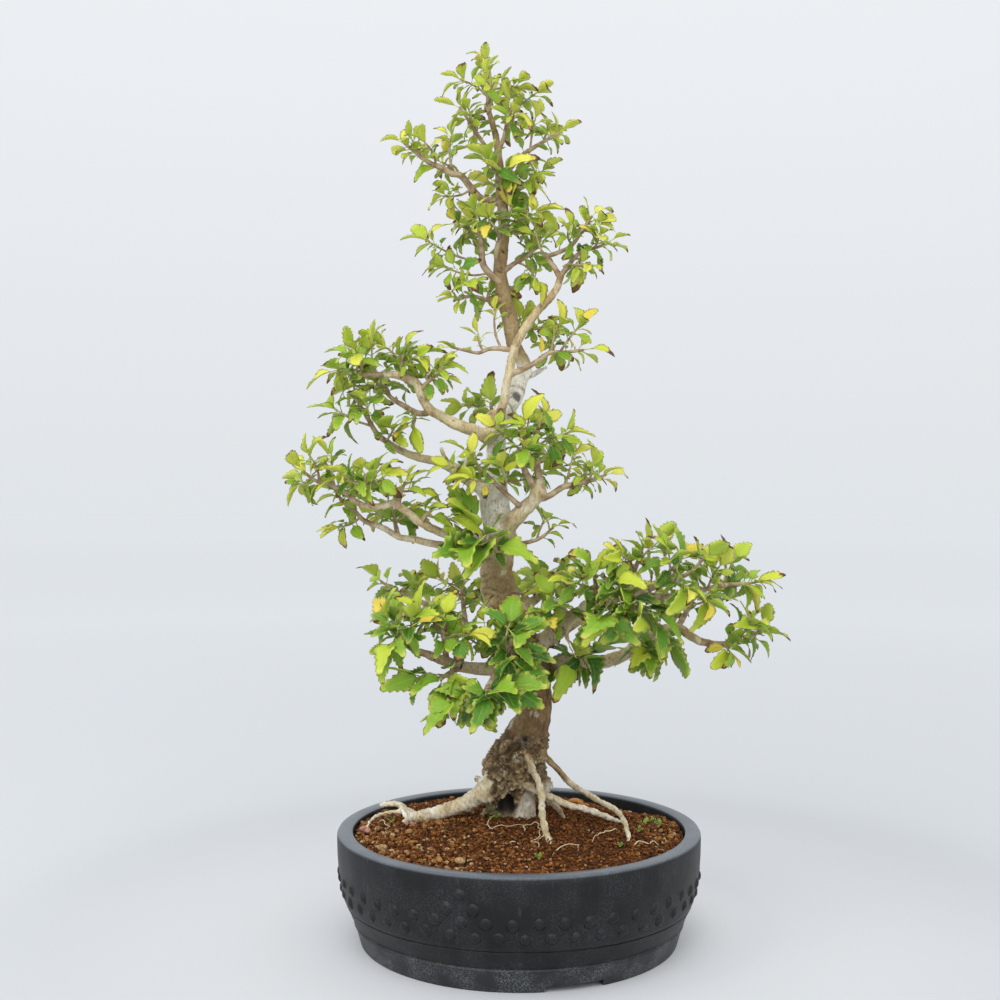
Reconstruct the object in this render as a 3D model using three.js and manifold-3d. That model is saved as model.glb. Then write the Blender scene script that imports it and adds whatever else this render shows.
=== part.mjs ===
// A rose of sharon bonsai standing in a round studded pot.
//
// One unit is one millimetre and +Z is up. Everything is laid out round the pot's axis, with the
// pot's foot at height 0, the viewer on the -Y side and +X to the viewer's right. The last lines
// move the whole group so that its origin is under the middle of its bounding box.

import * as THREE from "three";
import { mergeVertices } from "three/addons/utils/BufferGeometryUtils.js";
import Module from "manifold-3d";

const wasm = await Module();
wasm.setup();

// Driving dimensions of the pot: half of its section as [radius, height] from the middle of the
// underside, out over the foot and the wall, round the rim, and down to the middle of the floor.
const POT_HEIGHT = 91.3;
const RIM_RADIUS = 152.5;
const RIM_WIDTH = 13;
const POT_INSIDE = [[138.4, 72], [129, 18], [0, 14]];
const POT_SECTION = [
  [0, 6], [123, 6], [125.5, 0],
  [133, 0], [137, 16.5], [139, 18.5], [147, 38], [151.6, 64], [RIM_RADIUS, 86],
  [RIM_RADIUS - 2, POT_HEIGHT], [RIM_RADIUS - RIM_WIDTH, POT_HEIGHT], ...POT_INSIDE,
];
const POT_FACETS = 48;
const STUD = { radius: 5.2, proud: 2.4, sunk: 2.4, sides: 4 };
const STUD_ROWS = [{ height: 57, wall: 150.2, shift: 0 }, { height: 46, wall: 148.2, shift: 0.5 }];
const STUD_PEAK = [
  { height: 67, wall: 151.6, shift: -0.5 }, { height: 67, wall: 151.6, shift: 0.5 },
  { height: 77, wall: 151.8, shift: 0 },
];
const PEAKS = 3;
const PEAK_AZIMUTH = -17.5;
const NOTCH = { azimuth: 17.7, width: 47, height: 5, depth: 40 };
const DRAIN = { ring: 62, radius: 6, count: 3, sides: 8 };

// Driving dimensions of the soil and the clearance between neighbours. The soil falls from its
// crown to its edge, lies lower at the back, has a dip at the back right and shallow bumps.
const GAP = 0.3;
const SOIL = {
  edge: 87, crown: 14, reach: 140, roundness: 1.2, tilt: 0.012, bump: 1.1, waves: [0.11, 0.13],
  dip: { at: [98, 98], reach: 45, depth: 6.5 }, rings: [108, 64],
};

// How finely the wood is drawn: sides round it, and the length of one step along it. Below them
// are the lumps round the trunk and the hollow at its foot.
const TRUNK_MESH = { sides: 8, step: 17 };
const LIMB_MESH = { sides: 5, step: 27 };
const ROOT_MESH = { sides: 5, step: 24 };
const STEM_MESH = { sides: 3, step: 27 };
const BURLS = { swell: 0.11, upperSwell: 0.05, top: 170, rise: 0.09, fall: 0.13 };
const HOLLOW = { at: [-10.5, -15, 112], size: [7.5, 12, 13] };

// Driving dimensions of a leaf. Its length varies from the least share of its spray's leaf
// length upward, its stalk is a share of that length, and a large leaf droops more.
const LARGE_LEAF = 32;
const PAIRED_LEAF = 35;
const LEAF = {
  thickness: 0.9, arch: 0.26, fold: 0.18, stalkWidth: 1.4, stalk: 0.25, least: 0.88, more: 0.3,
  spread: 0.5, pairSpread: 1.3, inset: 1.5, pairInset: 3, droop: 0.12, largeDroop: 0.3,
  outward: 0.55, upward: 0.8, roll: 0.7, turn: 137.5, turnMore: 40,
};

// The room that a leaf needs: wider and thicker than itself against other sprays, and thicker
// than itself against its own. Lengths and volumes up to the last value count as touching.
const LEAF_ROOM = { thickness: 2, grow: 1.04 };
const OWN_ROOM = { thickness: 1.4 };
const TOUCH = 1e-4;

// The trunk, its roots and its main limbs, each a list of [x, y, z, radius] along its middle.
const TRUNK = [
  [-4, 7, 48, 16], [-4, 7, 70, 17], [-6, 6, 100, 18], [-7, 2, 122, 22], [-4, 0, 140, 24],
  [2.5, 0, 156, 20.5], [8, 0, 171, 17.2], [13, 0, 184, 14.2], [15.5, 1, 198, 11.8],
  [15, 2, 215, 11.5], [12, 1, 228, 12], [7, 0, 241, 12.5], [-1, 0, 257, 13.2],
  [-9, 0, 272, 14], [-15.4, 0, 285, 14.7], [-18.6, 0, 307, 13.8], [-16.7, 0, 326, 12.5],
  [-17, 0, 342, 12.6], [-20, 0, 360, 12.8], [-21, 0, 376, 11.6], [-19, 1, 394, 8.8],
  [-19, 3, 412, 8.2], [-17.5, 6, 430, 8.2], [-14, 8, 441, 8.4], [-6.5, 11, 450, 7.6],
  [-1.7, 13, 459, 7.2], [1, 14, 469, 6.7], [5.2, 14, 478, 6.4], [2.5, 12, 488, 6.3],
  [-3.5, 10, 498, 6.2], [-6.4, 10, 516, 6.7], [-8.5, 10, 527, 6.8], [-12, 10, 537, 6.6],
  [-14, 10, 548, 6.2], [-15.8, 10, 563, 5.9], [-14, 10, 580, 5.4], [-12.6, 10, 598, 5],
  [-13.4, 10, 615, 4.7], [-15, 10, 628, 4.6], [-15.8, 10, 643, 4.2], [-16.8, 10, 658, 3.6],
  [-18, 10, 670, 3.1], [-21, 10, 685, 2.7], [-25, 10, 698, 2.3],
];
const LIMBS = {
  right_front: [
    [5, 0, 226, 9], [17, -7, 244, 8], [30, -15, 256, 7.5], [50, -30, 272, 6.8],
    [63, -38, 281.5, 6], [80, -44, 290, 5.4], [92, -46, 292.5, 4.8], [104, -49, 294, 4.2],
  ],
  right_back: [
    [9, 3, 216, 8], [24, 8, 223, 7.4], [42, 13, 229, 6.8], [71, 22, 227, 6.2],
    [94, 27, 234, 5.4], [108, 30, 246, 4.8], [122, 24, 254, 4.4], [137, 14, 257, 4.2],
    [146, 9, 251.5, 3.9], [155, 5, 246, 3.7],
  ],
  left_front: [
    [2, 0, 236, 8], [-16, -30, 229, 6.2], [-42, -60, 233, 4.8], [-58, -71, 239, 4.2],
    [-72, -80, 245.5, 3.7],
  ],
  front: [[6, -4, 230, 7], [-4, -34, 234, 5.4], [-13, -62, 234, 4.4], [-25, -93, 220.5, 3.5]],
  left_back: [[0, 4, 250, 7], [-16, 22, 247, 5.8], [-35, 40, 250, 5], [-70, 60, 269.5, 3.8]],
  back: [[-3, 6, 262, 7], [2, 28, 268, 5.4], [12, 54, 276, 4.4], [30, 86, 285.5, 3.5]],
  left_upper: [
    [-17, -2, 334, 8.5], [-34, -9, 333, 5.6], [-46, -15, 336, 4.7], [-64, -22, 340, 3.9],
    [-84, -30, 350, 3.5], [-92, -32, 357, 3.3], [-104, -35, 364.5, 3.1], [-111, -37, 362, 2.9],
    [-123.5, -40, 362, 2.8], [-135, -42, 366, 2.6],
  ],
  left_lower: [
    [-17, 0, 328, 7], [-37, -8, 331, 4.6], [-57, -4, 328.5, 3.8], [-75, 0, 330.5, 3.3],
    [-88, 1, 333.6, 3.1], [-102.5, 2, 336, 2.9], [-113, 3, 342.5, 2.7], [-123, 4, 346, 2.6],
  ],
  left_second: [
    [-20, 0, 366, 9.5], [-30, 0, 377, 7.8], [-44, 0, 386.5, 6.4], [-57, 0, 395, 5],
    [-67, 0, 399, 4], [-86, 0, 403.5, 3.5], [-100.5, 0, 409, 3.2], [-111, 0, 415.7, 3],
  ],
  left_third: [
    [-18, 3, 417, 7.6], [-25, -6, 419, 6.2], [-36, -11, 424.5, 5.6], [-54, -15, 431, 4.8],
    [-64, -15, 436.5, 4.4], [-73, -15, 441.5, 4.2], [-80, -15, 450, 4], [-85, -15, 464, 3.8],
    [-94, -15, 468.5, 3.5], [-105, -15, 472, 3.3], [-114, -15, 471.4, 3],
  ],
  right_centre: [
    [-16, -3, 334, 10], [-9, -14, 346, 8], [-1, -20, 354, 7], [6, -22, 361, 6.4],
    [13, -24, 368, 5.8], [16.5, -24, 376, 5.2], [16.5, -24, 384, 4.8],
  ],
  leader: [
    [-18, 4, 426, 7], [-16, -8, 438, 4.6], [-12.5, -12, 450, 3.8], [-10.8, -14, 461, 3.7],
    [-8.3, -15, 472, 3.7], [-5.8, -15, 485.6, 3.8], [-2.4, -15, 497, 3.8], [7.6, -15, 514, 3.7],
    [17.6, -14, 527, 3.5], [26, -14, 535.7, 3.3], [32.6, -14, 546, 3.1], [35, -14, 556, 2.9],
  ],
};
const ROOTS = {
  right_high: [
    [16, -5, 158, 5], [22, -7, 151, 3.4], [32, -4, 141, 2.9], [43, 3, 127.5, 2.8],
    [55, 11, 118, 2.7], [71.3, 18, 107, 2.6], [83.3, 18, 100.5, 2.5], [88, 2, 97, 2.4],
    [88.4, -26, 96.3, 2.3], [88.4, -42, 94.6, 2.1], [88, -55, 90.5, 1.6],
  ],
  right_low: [
    [-5, -14, 134, 3.4], [4, -22, 130.5, 2.8], [12.5, -26, 127, 2.7], [22, -26, 123.5, 2.8],
    [40, -24, 115, 2.8], [58, -16, 108.5, 2.7], [73, -10, 101.5, 2.5], [84, -6, 96.5, 2.2],
  ],
  front: [
    [4, -14, 155, 3], [8, -22, 149, 3], [15, -31.5, 137, 3], [18.4, -35, 126, 3.1],
    [18.2, -42, 113, 3], [21, -56, 100.5, 3], [24.6, -74, 94, 3], [26.5, -88, 86, 2.6],
  ],
  front_small: [
    [14, -22, 123, 3.2], [24, -20, 118, 2.8], [31, -15, 111.5, 2.6], [36, -10, 104, 2.2],
    [38, -8, 98, 1.8],
  ],
  stump: [[3, -8, 134, 9], [3.5, -8, 124, 9.4], [5, -6, 110, 9.2], [6, -3, 90, 8.6]],
  mossy: [[-14, -10, 117, 4], [-22, -6, 110, 3.2], [-28, -2, 104, 2.6], [-32, 1, 98, 2]],
  left: [
    [-14, -8, 132, 13], [-27, -12, 124, 9.4], [-42, -8, 113.5, 7], [-65, 0, 103, 6.2],
    [-82, 3, 98.5, 5.6], [-92, 5, 94.5, 4.6], [-98, 8, 88, 4],
  ],
  left_fork: [
    [-84, 5, 97, 4], [-94, 9, 101, 3], [-103, 15, 106, 2.7], [-111, 19, 105.5, 2.5],
    [-119, 22, 103.5, 2.3],
  ],
  left_front: [
    [-100, 12, 105.5, 2.2], [-98, 1, 103, 2], [-95, -6, 99.5, 1.8], [-92.5, -11, 94, 1.6],
    [-91.5, -13, 88, 1.4],
  ],
  left_tip: [
    [-94, 8, 100, 2.6], [-104, 8, 101.5, 2], [-121, 4, 98.5, 1.8], [-127, -6, 93, 1.7],
    [-130, -13, 84, 1.6],
  ],
  back_left: [[-16, 12, 128, 10], [-34, 32, 108, 6], [-56, 58, 95, 4.4], [-72, 78, 82, 3.4]],
  back_right: [[8, 14, 126, 9], [26, 36, 106, 5.6], [44, 60, 94, 4], [56, 78, 82, 3]],
};

// The leafy sprays. A stem runs from its limb out to its tip, as [x, y, z, radius], and each
// shoot leaves the stem at a share of its length and ends at [share, x, y, z]. The leaf is the
// length of a grown leaf there.
const SPRAYS = {
  apex: {
    leaf: 24,
    stem: [[-25, 10, 696, 2.1], [-26, 10, 710, 1.8], [-24, 10, 726, 1.5], [-27, 9, 741, 1.1]],
    shoots: [[0.35, -50, 3, 724], [0.5, 0, 5, 718], [0.2, -27, -20, 716], [0.3, -20, 38, 722]],
  },
  top_right: {
    leaf: 24,
    stem: [
      [-15, 8, 643, 2.8], [-8, 8, 649, 2.4], [-1, 7, 657, 2.2], [7, 6, 663, 2],
      [20, 5, 671, 1.6], [35, 4, 679, 1.1],
    ],
    shoots: [[0.55, 14, -10, 688], [0.75, 28, 22, 690], [0.4, 14, 0, 645]],
  },
  top_inner: {
    leaf: 24,
    stem: [[-17, 9, 664, 2], [-12.6, 8, 676, 1.7], [-9.8, 7, 689, 1.4], [-6, 6, 702, 1.1]],
    shoots: [[0.8, 16, 6, 714], [0.5, -4, -20, 690], [0.6, 0, 32, 696]],
  },
  top_left: {
    leaf: 24,
    stem: [
      [-17, 10, 657, 2], [-26, 9, 666, 1.8], [-34.6, 8, 678, 1.6], [-43, 7, 691, 1.3],
      [-50, 6, 701, 1],
    ],
    shoots: [[0.5, -42, -14, 694], [0.45, -38, 34, 690]],
  },
  upper_left: {
    leaf: 24,
    stem: [
      [-13, 9, 620, 3.6], [-32.5, 6, 624, 3.2], [-41, 4, 633, 3], [-49, 2, 642, 2.8],
      [-57.5, 0, 643.6, 2.6], [-66, -2, 648, 2.4], [-74, -3, 651, 2.1], [-82, -4, 656, 1.8],
      [-88.5, -4, 661.5, 1.6], [-97, -5, 668, 1.1],
    ],
    shoots: [
      [0.85, -90, -8, 670], [0.5, -57, 2, 677], [0.55, -66, 26, 660], [0.68, -78, -20, 664],
      [0.3, -64, -10, 622],
    ],
  },
  collar_front: {
    leaf: 29,
    stem: [[-15, 8, 632, 2.2], [-13, -4, 638, 1.7], [-12, -16, 640, 1.2]],
    shoots: [[0.5, -28, -16, 652], [0.6, 8, -14, 632]],
  },
  collar_back: {
    leaf: 25,
    stem: [[-14, 9, 622, 2.2], [-6, 22, 630, 1.7], [2, 34, 640, 1.2]],
    shoots: [[0.6, -26, 38, 646], [0.7, 22, 30, 654]],
  },
  middle_left: {
    leaf: 27,
    stem: [
      [-15, 8, 552, 3.4], [-22, 5, 557, 3.1], [-30, 3, 566.5, 2.8], [-31.4, 2, 583, 2.4],
      [-33, 1, 591.5, 2], [-41, 0, 596, 1.6], [-54, -1, 601, 1.1],
    ],
    shoots: [
      [0.35, -78, -4, 586], [0.2, -62, -12, 562], [0.6, -36, -22, 608], [0.5, -40, 26, 596],
    ],
  },
  middle_low: {
    leaf: 26,
    stem: [[-12, 8, 538, 2.6], [-25, 0, 536, 2], [-38, -8, 538, 1.6], [-52, -12, 536, 1.1]],
    shoots: [[0.6, -44, -28, 548], [0.4, -24, 24, 548]],
  },
  middle_front: {
    leaf: 28,
    stem: [
      [-16, 4, 562, 2.6], [-19, -6, 575, 2.2], [-16, -9, 586, 1.9], [-10, -10, 600, 1.5],
      [-6.5, -10, 613, 1.1],
    ],
    shoots: [[0.5, -26, -28, 600], [0.6, 14, -16, 606]],
  },
  middle_back: {
    leaf: 27,
    stem: [[-14, 10, 585, 2.4], [-12, 25, 594, 1.8], [-9, 38, 604, 1.2]],
    shoots: [[0.5, 18, 34, 602], [0.6, -36, 42, 610]],
  },
  centre_right: {
    leaf: 27,
    stem: [[-15, 9, 560, 2.6], [-4, 6, 568, 2], [8, 2, 574, 1.6], [18, 0, 585, 1.1]],
    shoots: [[0.4, 14, -10, 552], [0.6, 12, 30, 580]],
  },
  back_high: {
    leaf: 26,
    stem: [[-7, 10, 508, 2.4], [-2, 26, 516, 1.8], [2, 38, 526, 1.2]],
    shoots: [[0.6, 24, 30, 516]],
  },
  upper_right: {
    leaf: 25,
    stem: [
      [34, -14, 554, 2.5], [28.5, -14, 563, 2.1], [24, -14, 570, 2], [31.4, -15, 573, 1.8],
      [43.5, -15, 579, 1.6], [50, -15, 587.5, 1.5], [54, -15, 594, 1.4], [61, -15, 604, 1.1],
    ],
    shoots: [[0.25, 14, -18, 592], [0.6, 40, -30, 588], [0.8, 68, -10, 600]],
  },
  right_tip: {
    leaf: 26,
    stem: [
      [34.5, -14, 554, 2.4], [40, -14, 561, 2.1], [46, -14, 569, 1.8], [52, -14, 574, 1.6],
      [61, -14, 577, 1.4], [68, -14, 579, 1.2], [75, -14, 582, 1],
    ],
    shoots: [[0.2, 56, -28, 560], [0.4, 52, 12, 566], [0.75, 66, -32, 586]],
  },
  middle_right: {
    leaf: 25,
    stem: [
      [-8, -15, 472, 2.8], [1, -16, 475, 2.5], [11, -17, 480, 2.2], [19, -17, 485, 2],
      [26, -17, 490, 1.8], [37.6, -17, 490, 1.5], [54, -17, 492, 1.1],
    ],
    shoots: [[0.6, 34, -18, 514], [0.7, 52, -22, 514], [0.5, 30, 14, 500]],
  },
  twig_left: {
    leaf: 20,
    stem: [
      [-4, -15, 492, 2.4], [-17.5, -15, 493.5, 2], [-26, -14, 493, 1.7], [-33, -14, 490, 1.4],
      [-45, -14, 492, 1.2], [-57, -14, 495, 1],
    ],
    shoots: [[0.5, -34, -16, 506], [0.2, -20, -16, 526]],
  },
  third_tip: {
    leaf: 28,
    stem: [
      [-112, -15, 471.4, 2.6], [-126, -16, 471.5, 2.2], [-138, -18, 471.5, 1.8],
      [-151, -20, 475, 1.1],
    ],
    shoots: [[0.5, -134, -38, 490], [0.6, -142, 4, 490], [0.2, -122, -22, 495]],
  },
  third_top: {
    leaf: 28,
    stem: [[-94, -15, 467, 2.5], [-98, -14, 479, 1.9], [-97, -12, 489, 1.2]],
    shoots: [[0.6, -112, -4, 496], [0.5, -84, -30, 486], [0.6, -98, 16, 486]],
  },
  third_inner: {
    leaf: 26,
    stem: [[-83, -15, 456, 2.4], [-76, -18, 465, 1.8], [-66, -20, 472, 1.2]],
    shoots: [[0.5, -72, 2, 478], [0.6, -62, -34, 478]],
  },
  third_back: {
    leaf: 28,
    stem: [
      [-72, -15, 441, 2.8], [-84, -4, 440, 2.5], [-99, 5, 448, 2.2], [-107, 10, 453, 1.9],
      [-115, 14, 461, 1.5], [-124, 18, 470, 1.1],
    ],
    shoots: [[0.7, -124, 36, 470], [0.85, -142, 12, 464], [0.3, -88, -16, 428]],
  },
  second_tip: {
    leaf: 28,
    stem: [
      [-109, 0, 414.5, 2.6], [-119, 0, 422, 2.3], [-127.6, -1, 436, 1.8], [-134, -2, 447, 1.5],
      [-141, -3, 457, 1.1],
    ],
    shoots: [[0.4, -156, 0, 444], [0.5, -126, -26, 448], [0.1, -104, -18, 426]],
  },
  left_tip: {
    leaf: 26,
    stem: [
      [-133, -41.5, 365, 2.3], [-143, -43, 374, 2], [-156, -45, 380, 1.7],
      [-166, -46, 383, 1.4], [-175, -46, 390, 1.1],
    ],
    shoots: [[0.7, -170, -54, 404], [0.45, -154, -34, 404], [0.8, -182, -28, 380]],
  },
  left_mid: {
    leaf: 28,
    stem: [[-122, -40, 361.5, 2.2], [-124, -44, 375, 1.7], [-125, -48, 388, 1.1]],
    shoots: [[0.6, -108, -60, 386], [0.6, -142, -56, 388], [0.5, -118, -24, 388]],
  },
  left_inner: {
    leaf: 30,
    stem: [[-100, -34, 360.5, 2.4], [-97, -36, 373, 1.6], [-93, -38, 382, 1.1]],
    shoots: [[0.6, -84, -28, 374]],
  },
  left_near: {
    leaf: 34,
    stem: [[-80, -28.5, 347.5, 2.2], [-77, -34, 354, 1.7], [-72, -38, 358, 1.2]],
    shoots: [[0.6, -54, -42, 352]],
  },
  lower_tip: {
    leaf: 27,
    stem: [
      [-121, 4, 345.2, 2.3], [-132, 5, 350, 2], [-140, 5, 358.5, 1.8], [-150.4, 5, 367, 1.5],
      [-157, 5, 377, 1.1],
    ],
    shoots: [[0.6, -150, 28, 380], [0.5, -136, -14, 374], [0.3, -152, 0, 344]],
  },
  lower_mid: {
    leaf: 28,
    stem: [[-102, 2, 336, 2.2], [-106, 12, 349, 1.6], [-109, 18, 362, 1.1]],
    shoots: [[0.6, -92, 30, 358], [0.5, -126, 26, 358]],
  },
  trunk_left: {
    leaf: 44,
    stem: [[-30, -8, 331, 2.4], [-27, -22, 330, 2], [-23, -32, 330, 1.4]],
    shoots: [[0.7, -34, -34, 344], [0.8, -38, -36, 330]],
  },
  centre_left: {
    leaf: 28,
    stem: [
      [14.5, -24, 374, 3], [8, -27, 385, 2.7], [3, -29, 397, 2.3], [4, -30, 412.5, 1.8],
      [3, -31, 427, 1.2],
    ],
    shoots: [[0.6, -20, -42, 426], [0.5, 4, -54, 410], [0.75, 8, -8, 434]],
  },
  centre_top: {
    leaf: 28,
    stem: [
      [17.5, -24, 381, 3.2], [15, -22, 396, 2.8], [14, -21, 408.5, 2.3], [15, -20, 420, 1.8],
      [18, -18, 432, 1.2],
    ],
    shoots: [[0.6, 40, -26, 422], [0.5, 28, 12, 418]],
  },
  centre_tip: {
    leaf: 24,
    stem: [
      [12, -23, 367, 3], [24, -24, 370, 2.6], [37, -25, 378, 2.4], [50.4, -26, 380.5, 2],
      [62, -26, 384, 1.6], [72, -26, 388, 1.1],
    ],
    shoots: [[0.45, 45, -26, 406], [0.75, 60, -38, 400], [0.6, 58, 2, 392]],
  },
  centre_front: {
    leaf: 26,
    stem: [
      [4, -22, 359, 2.4], [-4, -30, 366, 2.2], [-16, -32, 377, 1.9], [-24, -34, 385, 1.6],
      [-32, -35, 393, 1.4], [-41, -37, 406, 1],
    ],
    shoots: [[0.4, -14, -50, 394], [0.5, -40, -50, 384], [0.5, -58, -30, 396]],
  },
  trunk_right: {
    leaf: 26,
    stem: [[-8, -3, 330, 2.4], [5.3, -7, 331, 1.8], [18, -9, 335, 1.4], [29, -10, 344, 1]],
    shoots: [[0.6, 22, 8, 350]],
  },
  back_low: {
    leaf: 30,
    stem: [[-20, 4, 372, 2.8], [-14, 22, 382, 2.2], [-8, 38, 394, 1.3]],
    shoots: [[0.6, -38, 42, 394], [0.6, 20, 36, 390]],
  },
  back_middle: {
    leaf: 28,
    stem: [[-17, 6, 430, 2.6], [-22, 24, 440, 2], [-24, 38, 452, 1.2]],
    shoots: [[0.6, -48, 34, 450]],
  },
  front_left_tip: {
    leaf: 36,
    stem: [
      [-70, -79, 245, 3], [-83, -84, 250, 2.5], [-93, -85, 258, 2.1], [-102, -86, 270, 1.3],
    ],
    shoots: [[0.45, -84, -102, 276], [0.6, -102, -58, 278], [0.7, -100, -102, 256]],
  },
  front_left_mid: {
    leaf: 36,
    stem: [[-58, -71, 239, 2.6], [-60, -75, 257, 2], [-62, -78, 272, 1.3]],
    shoots: [[0.5, -40, -92, 262], [0.6, -80, -76, 280], [0.5, -64, -52, 281]],
  },
  front_left_low: {
    leaf: 36,
    stem: [[-46, -63, 234, 2.4], [-56, -80, 231, 1.9], [-62, -94, 228, 1.2]],
    shoots: [[0.7, -80, -90, 229], [0.6, -46, -100, 226]],
  },
  front_tip: {
    leaf: 38,
    stem: [[-24, -91, 221.5, 2.8], [-26, -102, 221, 2.2], [-26, -112, 222, 1.4]],
    shoots: [[0.5, -6, -110, 226], [0.6, -50, -108, 214]],
  },
  front_mid: {
    leaf: 38,
    stem: [[-14, -65, 233, 2.6], [-10, -79, 247, 2], [-6, -89, 260, 1.3]],
    shoots: [[0.6, 0, -84, 244], [0.6, -8, -74, 270]],
  },
  front_near: {
    leaf: 34,
    stem: [[-14, -27, 229.5, 2.8], [-22, -34, 246, 2.2], [-28, -38, 262, 1.3]],
    shoots: [[0.5, -46, -28, 258], [0.7, -10, -54, 262]],
  },
  back_left_tip: {
    leaf: 34,
    stem: [[-68, 59, 269, 2.9], [-88, 66, 276, 2.3], [-108, 72, 284, 1.6], [-124, 74, 294, 1.1]],
    shoots: [[0.5, -92, 90, 294], [0.35, -86, 44, 292], [0.6, -112, 98, 278]],
  },
  back_left_mid: {
    leaf: 32,
    stem: [[-46, 46.5, 256, 2.6], [-48, 44, 273, 2], [-50, 40, 290, 1.3]],
    shoots: [[0.6, -70, 32, 300], [0.5, -34, 66, 284]],
  },
  back_tip: {
    leaf: 34,
    stem: [[29, 84, 285, 2.8], [40, 100, 290, 2.1], [49, 112, 297, 1.3]],
    shoots: [[0.4, 20, 112, 296]],
  },
  back_near: {
    leaf: 32,
    stem: [[12, 54, 276, 2.6], [4, 62, 283, 1.9], [-4, 68, 290, 1.2]],
    shoots: [[0.6, -22, 84, 290], [0.5, 26, 50, 296]],
  },
  front_right_tip: {
    leaf: 34,
    stem: [
      [101, -48.5, 293.5, 3], [111, -52, 298, 2.6], [125, -56, 303, 2.1], [138, -58, 310, 1.6],
      [147, -59, 320, 1.2],
    ],
    shoots: [[0.4, 118, -72, 324], [0.5, 134, -34, 322], [0.5, 130, -82, 298]],
  },
  front_right_up: {
    leaf: 32,
    stem: [[84, -45, 291, 2.8], [89, -45, 301, 2.4], [95, -45, 314, 1.8], [100, -44, 328, 1.2]],
    shoots: [[0.5, 80, -62, 324], [0.55, 114, -28, 332]],
  },
  front_right_mid: {
    leaf: 34,
    stem: [[62, -38, 281, 2.6], [62, -46, 296, 2], [60, -50, 309, 1.3]],
    shoots: [[0.5, 40, -60, 302], [0.6, 78, -70, 304]],
  },
  front_right_low: {
    leaf: 38,
    stem: [[80, -45, 289, 2.4], [86, -60, 286, 2], [88, -73, 280, 1.3]],
    shoots: [[0.7, 106, -78, 278], [0.6, 68, -78, 276]],
  },
  right_near: {
    leaf: 32,
    stem: [[44, -25, 267, 2.6], [37, -34, 277, 2], [30, -40, 285, 1.2]],
    shoots: [[0.5, 18, -50, 272], [0.6, 24, -22, 291]],
  },
  right_outer: {
    leaf: 32,
    stem: [
      [101.5, -48, 291, 2.4], [118, -42, 288, 2.3], [143, -38, 292, 2.1], [168, -32, 297, 1.8],
      [188, -26, 298, 1.2],
    ],
    shoots: [
      [0.6, 162, -50, 314], [0.75, 180, -10, 316], [0.5, 150, -60, 284], [0.9, 199, -22, 299],
    ],
  },
  far_right_tip: {
    leaf: 32,
    stem: [
      [153, 6, 247, 3.2], [167, 2, 244.7, 2.8], [183, 0, 246, 2.4], [194, -3, 250, 1.9],
      [204, -6, 258, 1.2],
    ],
    shoots: [[0.6, 194, -26, 264], [0.6, 200, 22, 266], [0.4, 176, -20, 240]],
  },
  far_right_mid: {
    leaf: 32,
    stem: [[136, 14, 257, 2.8], [146, 20, 273, 2.1], [153, 24, 290, 1.3]],
    shoots: [[0.5, 128, 38, 286], [0.6, 174, 34, 288]],
  },
  far_right_back: {
    leaf: 34,
    stem: [[104, 29.5, 243, 2.8], [104, 47, 263, 2.2], [102, 57, 282, 1.3]],
    shoots: [[0.6, 78, 66, 280], [0.6, 128, 66, 274]],
  },
  far_right_low: {
    leaf: 36,
    stem: [[112, 28, 248.5, 2.6], [119, 8, 246, 2], [124, -12, 245, 1.3]],
    shoots: [[0.6, 106, -20, 243]],
  },
  trunk_low: {
    leaf: 40,
    stem: [[44, 13, 228.5, 2.4], [46, -4, 232, 1.9], [46, -17, 234, 1.3]],
    shoots: [[0.6, 62, -14, 242]],
  },
};

// Numbers from 0 to 1 that come out alike each time for one seed.
function randomStream(seed) {
  let state = Math.imul(seed + 1, 2654435761) >>> 0;
  return () => {
    state = (Math.imul(state, 1664525) + 1013904223) >>> 0;
    return state / 4294967296;
  };
}

// A closed mesh as a solid that can be joined and cut.
function solid(geometry) {
  const bare = geometry.clone();
  bare.deleteAttribute("normal");
  bare.deleteAttribute("uv");
  const merged = mergeVertices(bare, TOUCH);
  const corners = merged.index.array;
  const kept = [];
  for (let i = 0; i < corners.length; i += 3) {
    const [a, b, c] = [corners[i], corners[i + 1], corners[i + 2]];
    if (a !== b && b !== c && c !== a) kept.push(a, b, c);
  }
  return new wasm.Manifold(new wasm.Mesh({
    numProp: 3,
    vertProperties: new Float32Array(merged.attributes.position.array),
    triVerts: new Uint32Array(kept),
  }));
}

// A solid as a geometry to show.
function geometryOf(body) {
  const mesh = body.getMesh();
  const geometry = new THREE.BufferGeometry();
  geometry.setAttribute("position", new THREE.BufferAttribute(mesh.vertProperties, 3));
  geometry.setIndex(new THREE.BufferAttribute(mesh.triVerts, 1));
  geometry.computeVertexNormals();
  return geometry;
}

// The largest single body of a solid that a cut may have split.
function largestBody(body) {
  return body.decompose().reduce((best, piece) => (piece.volume() > best.volume() ? piece : best));
}

function curveThrough(points) {
  const middle = points.map(([x, y, z]) => new THREE.Vector3(x, y, z));
  return new THREE.CatmullRomCurve3(middle, false, "centripetal");
}

function stepsAlong(curve, stepLength) {
  return Math.max(1, Math.round(curve.getLength() / stepLength));
}

// The middle of a stem as it is drawn, in straight steps, at a share of its length.
function stemMiddle(curve, share, stepLength) {
  const steps = stepsAlong(curve, stepLength);
  const from = Math.min(Math.floor(share * steps), steps - 1);
  const start = curve.getPointAt(from / steps);
  return start.lerp(curve.getPointAt((from + 1) / steps), share * steps - from);
}

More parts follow.
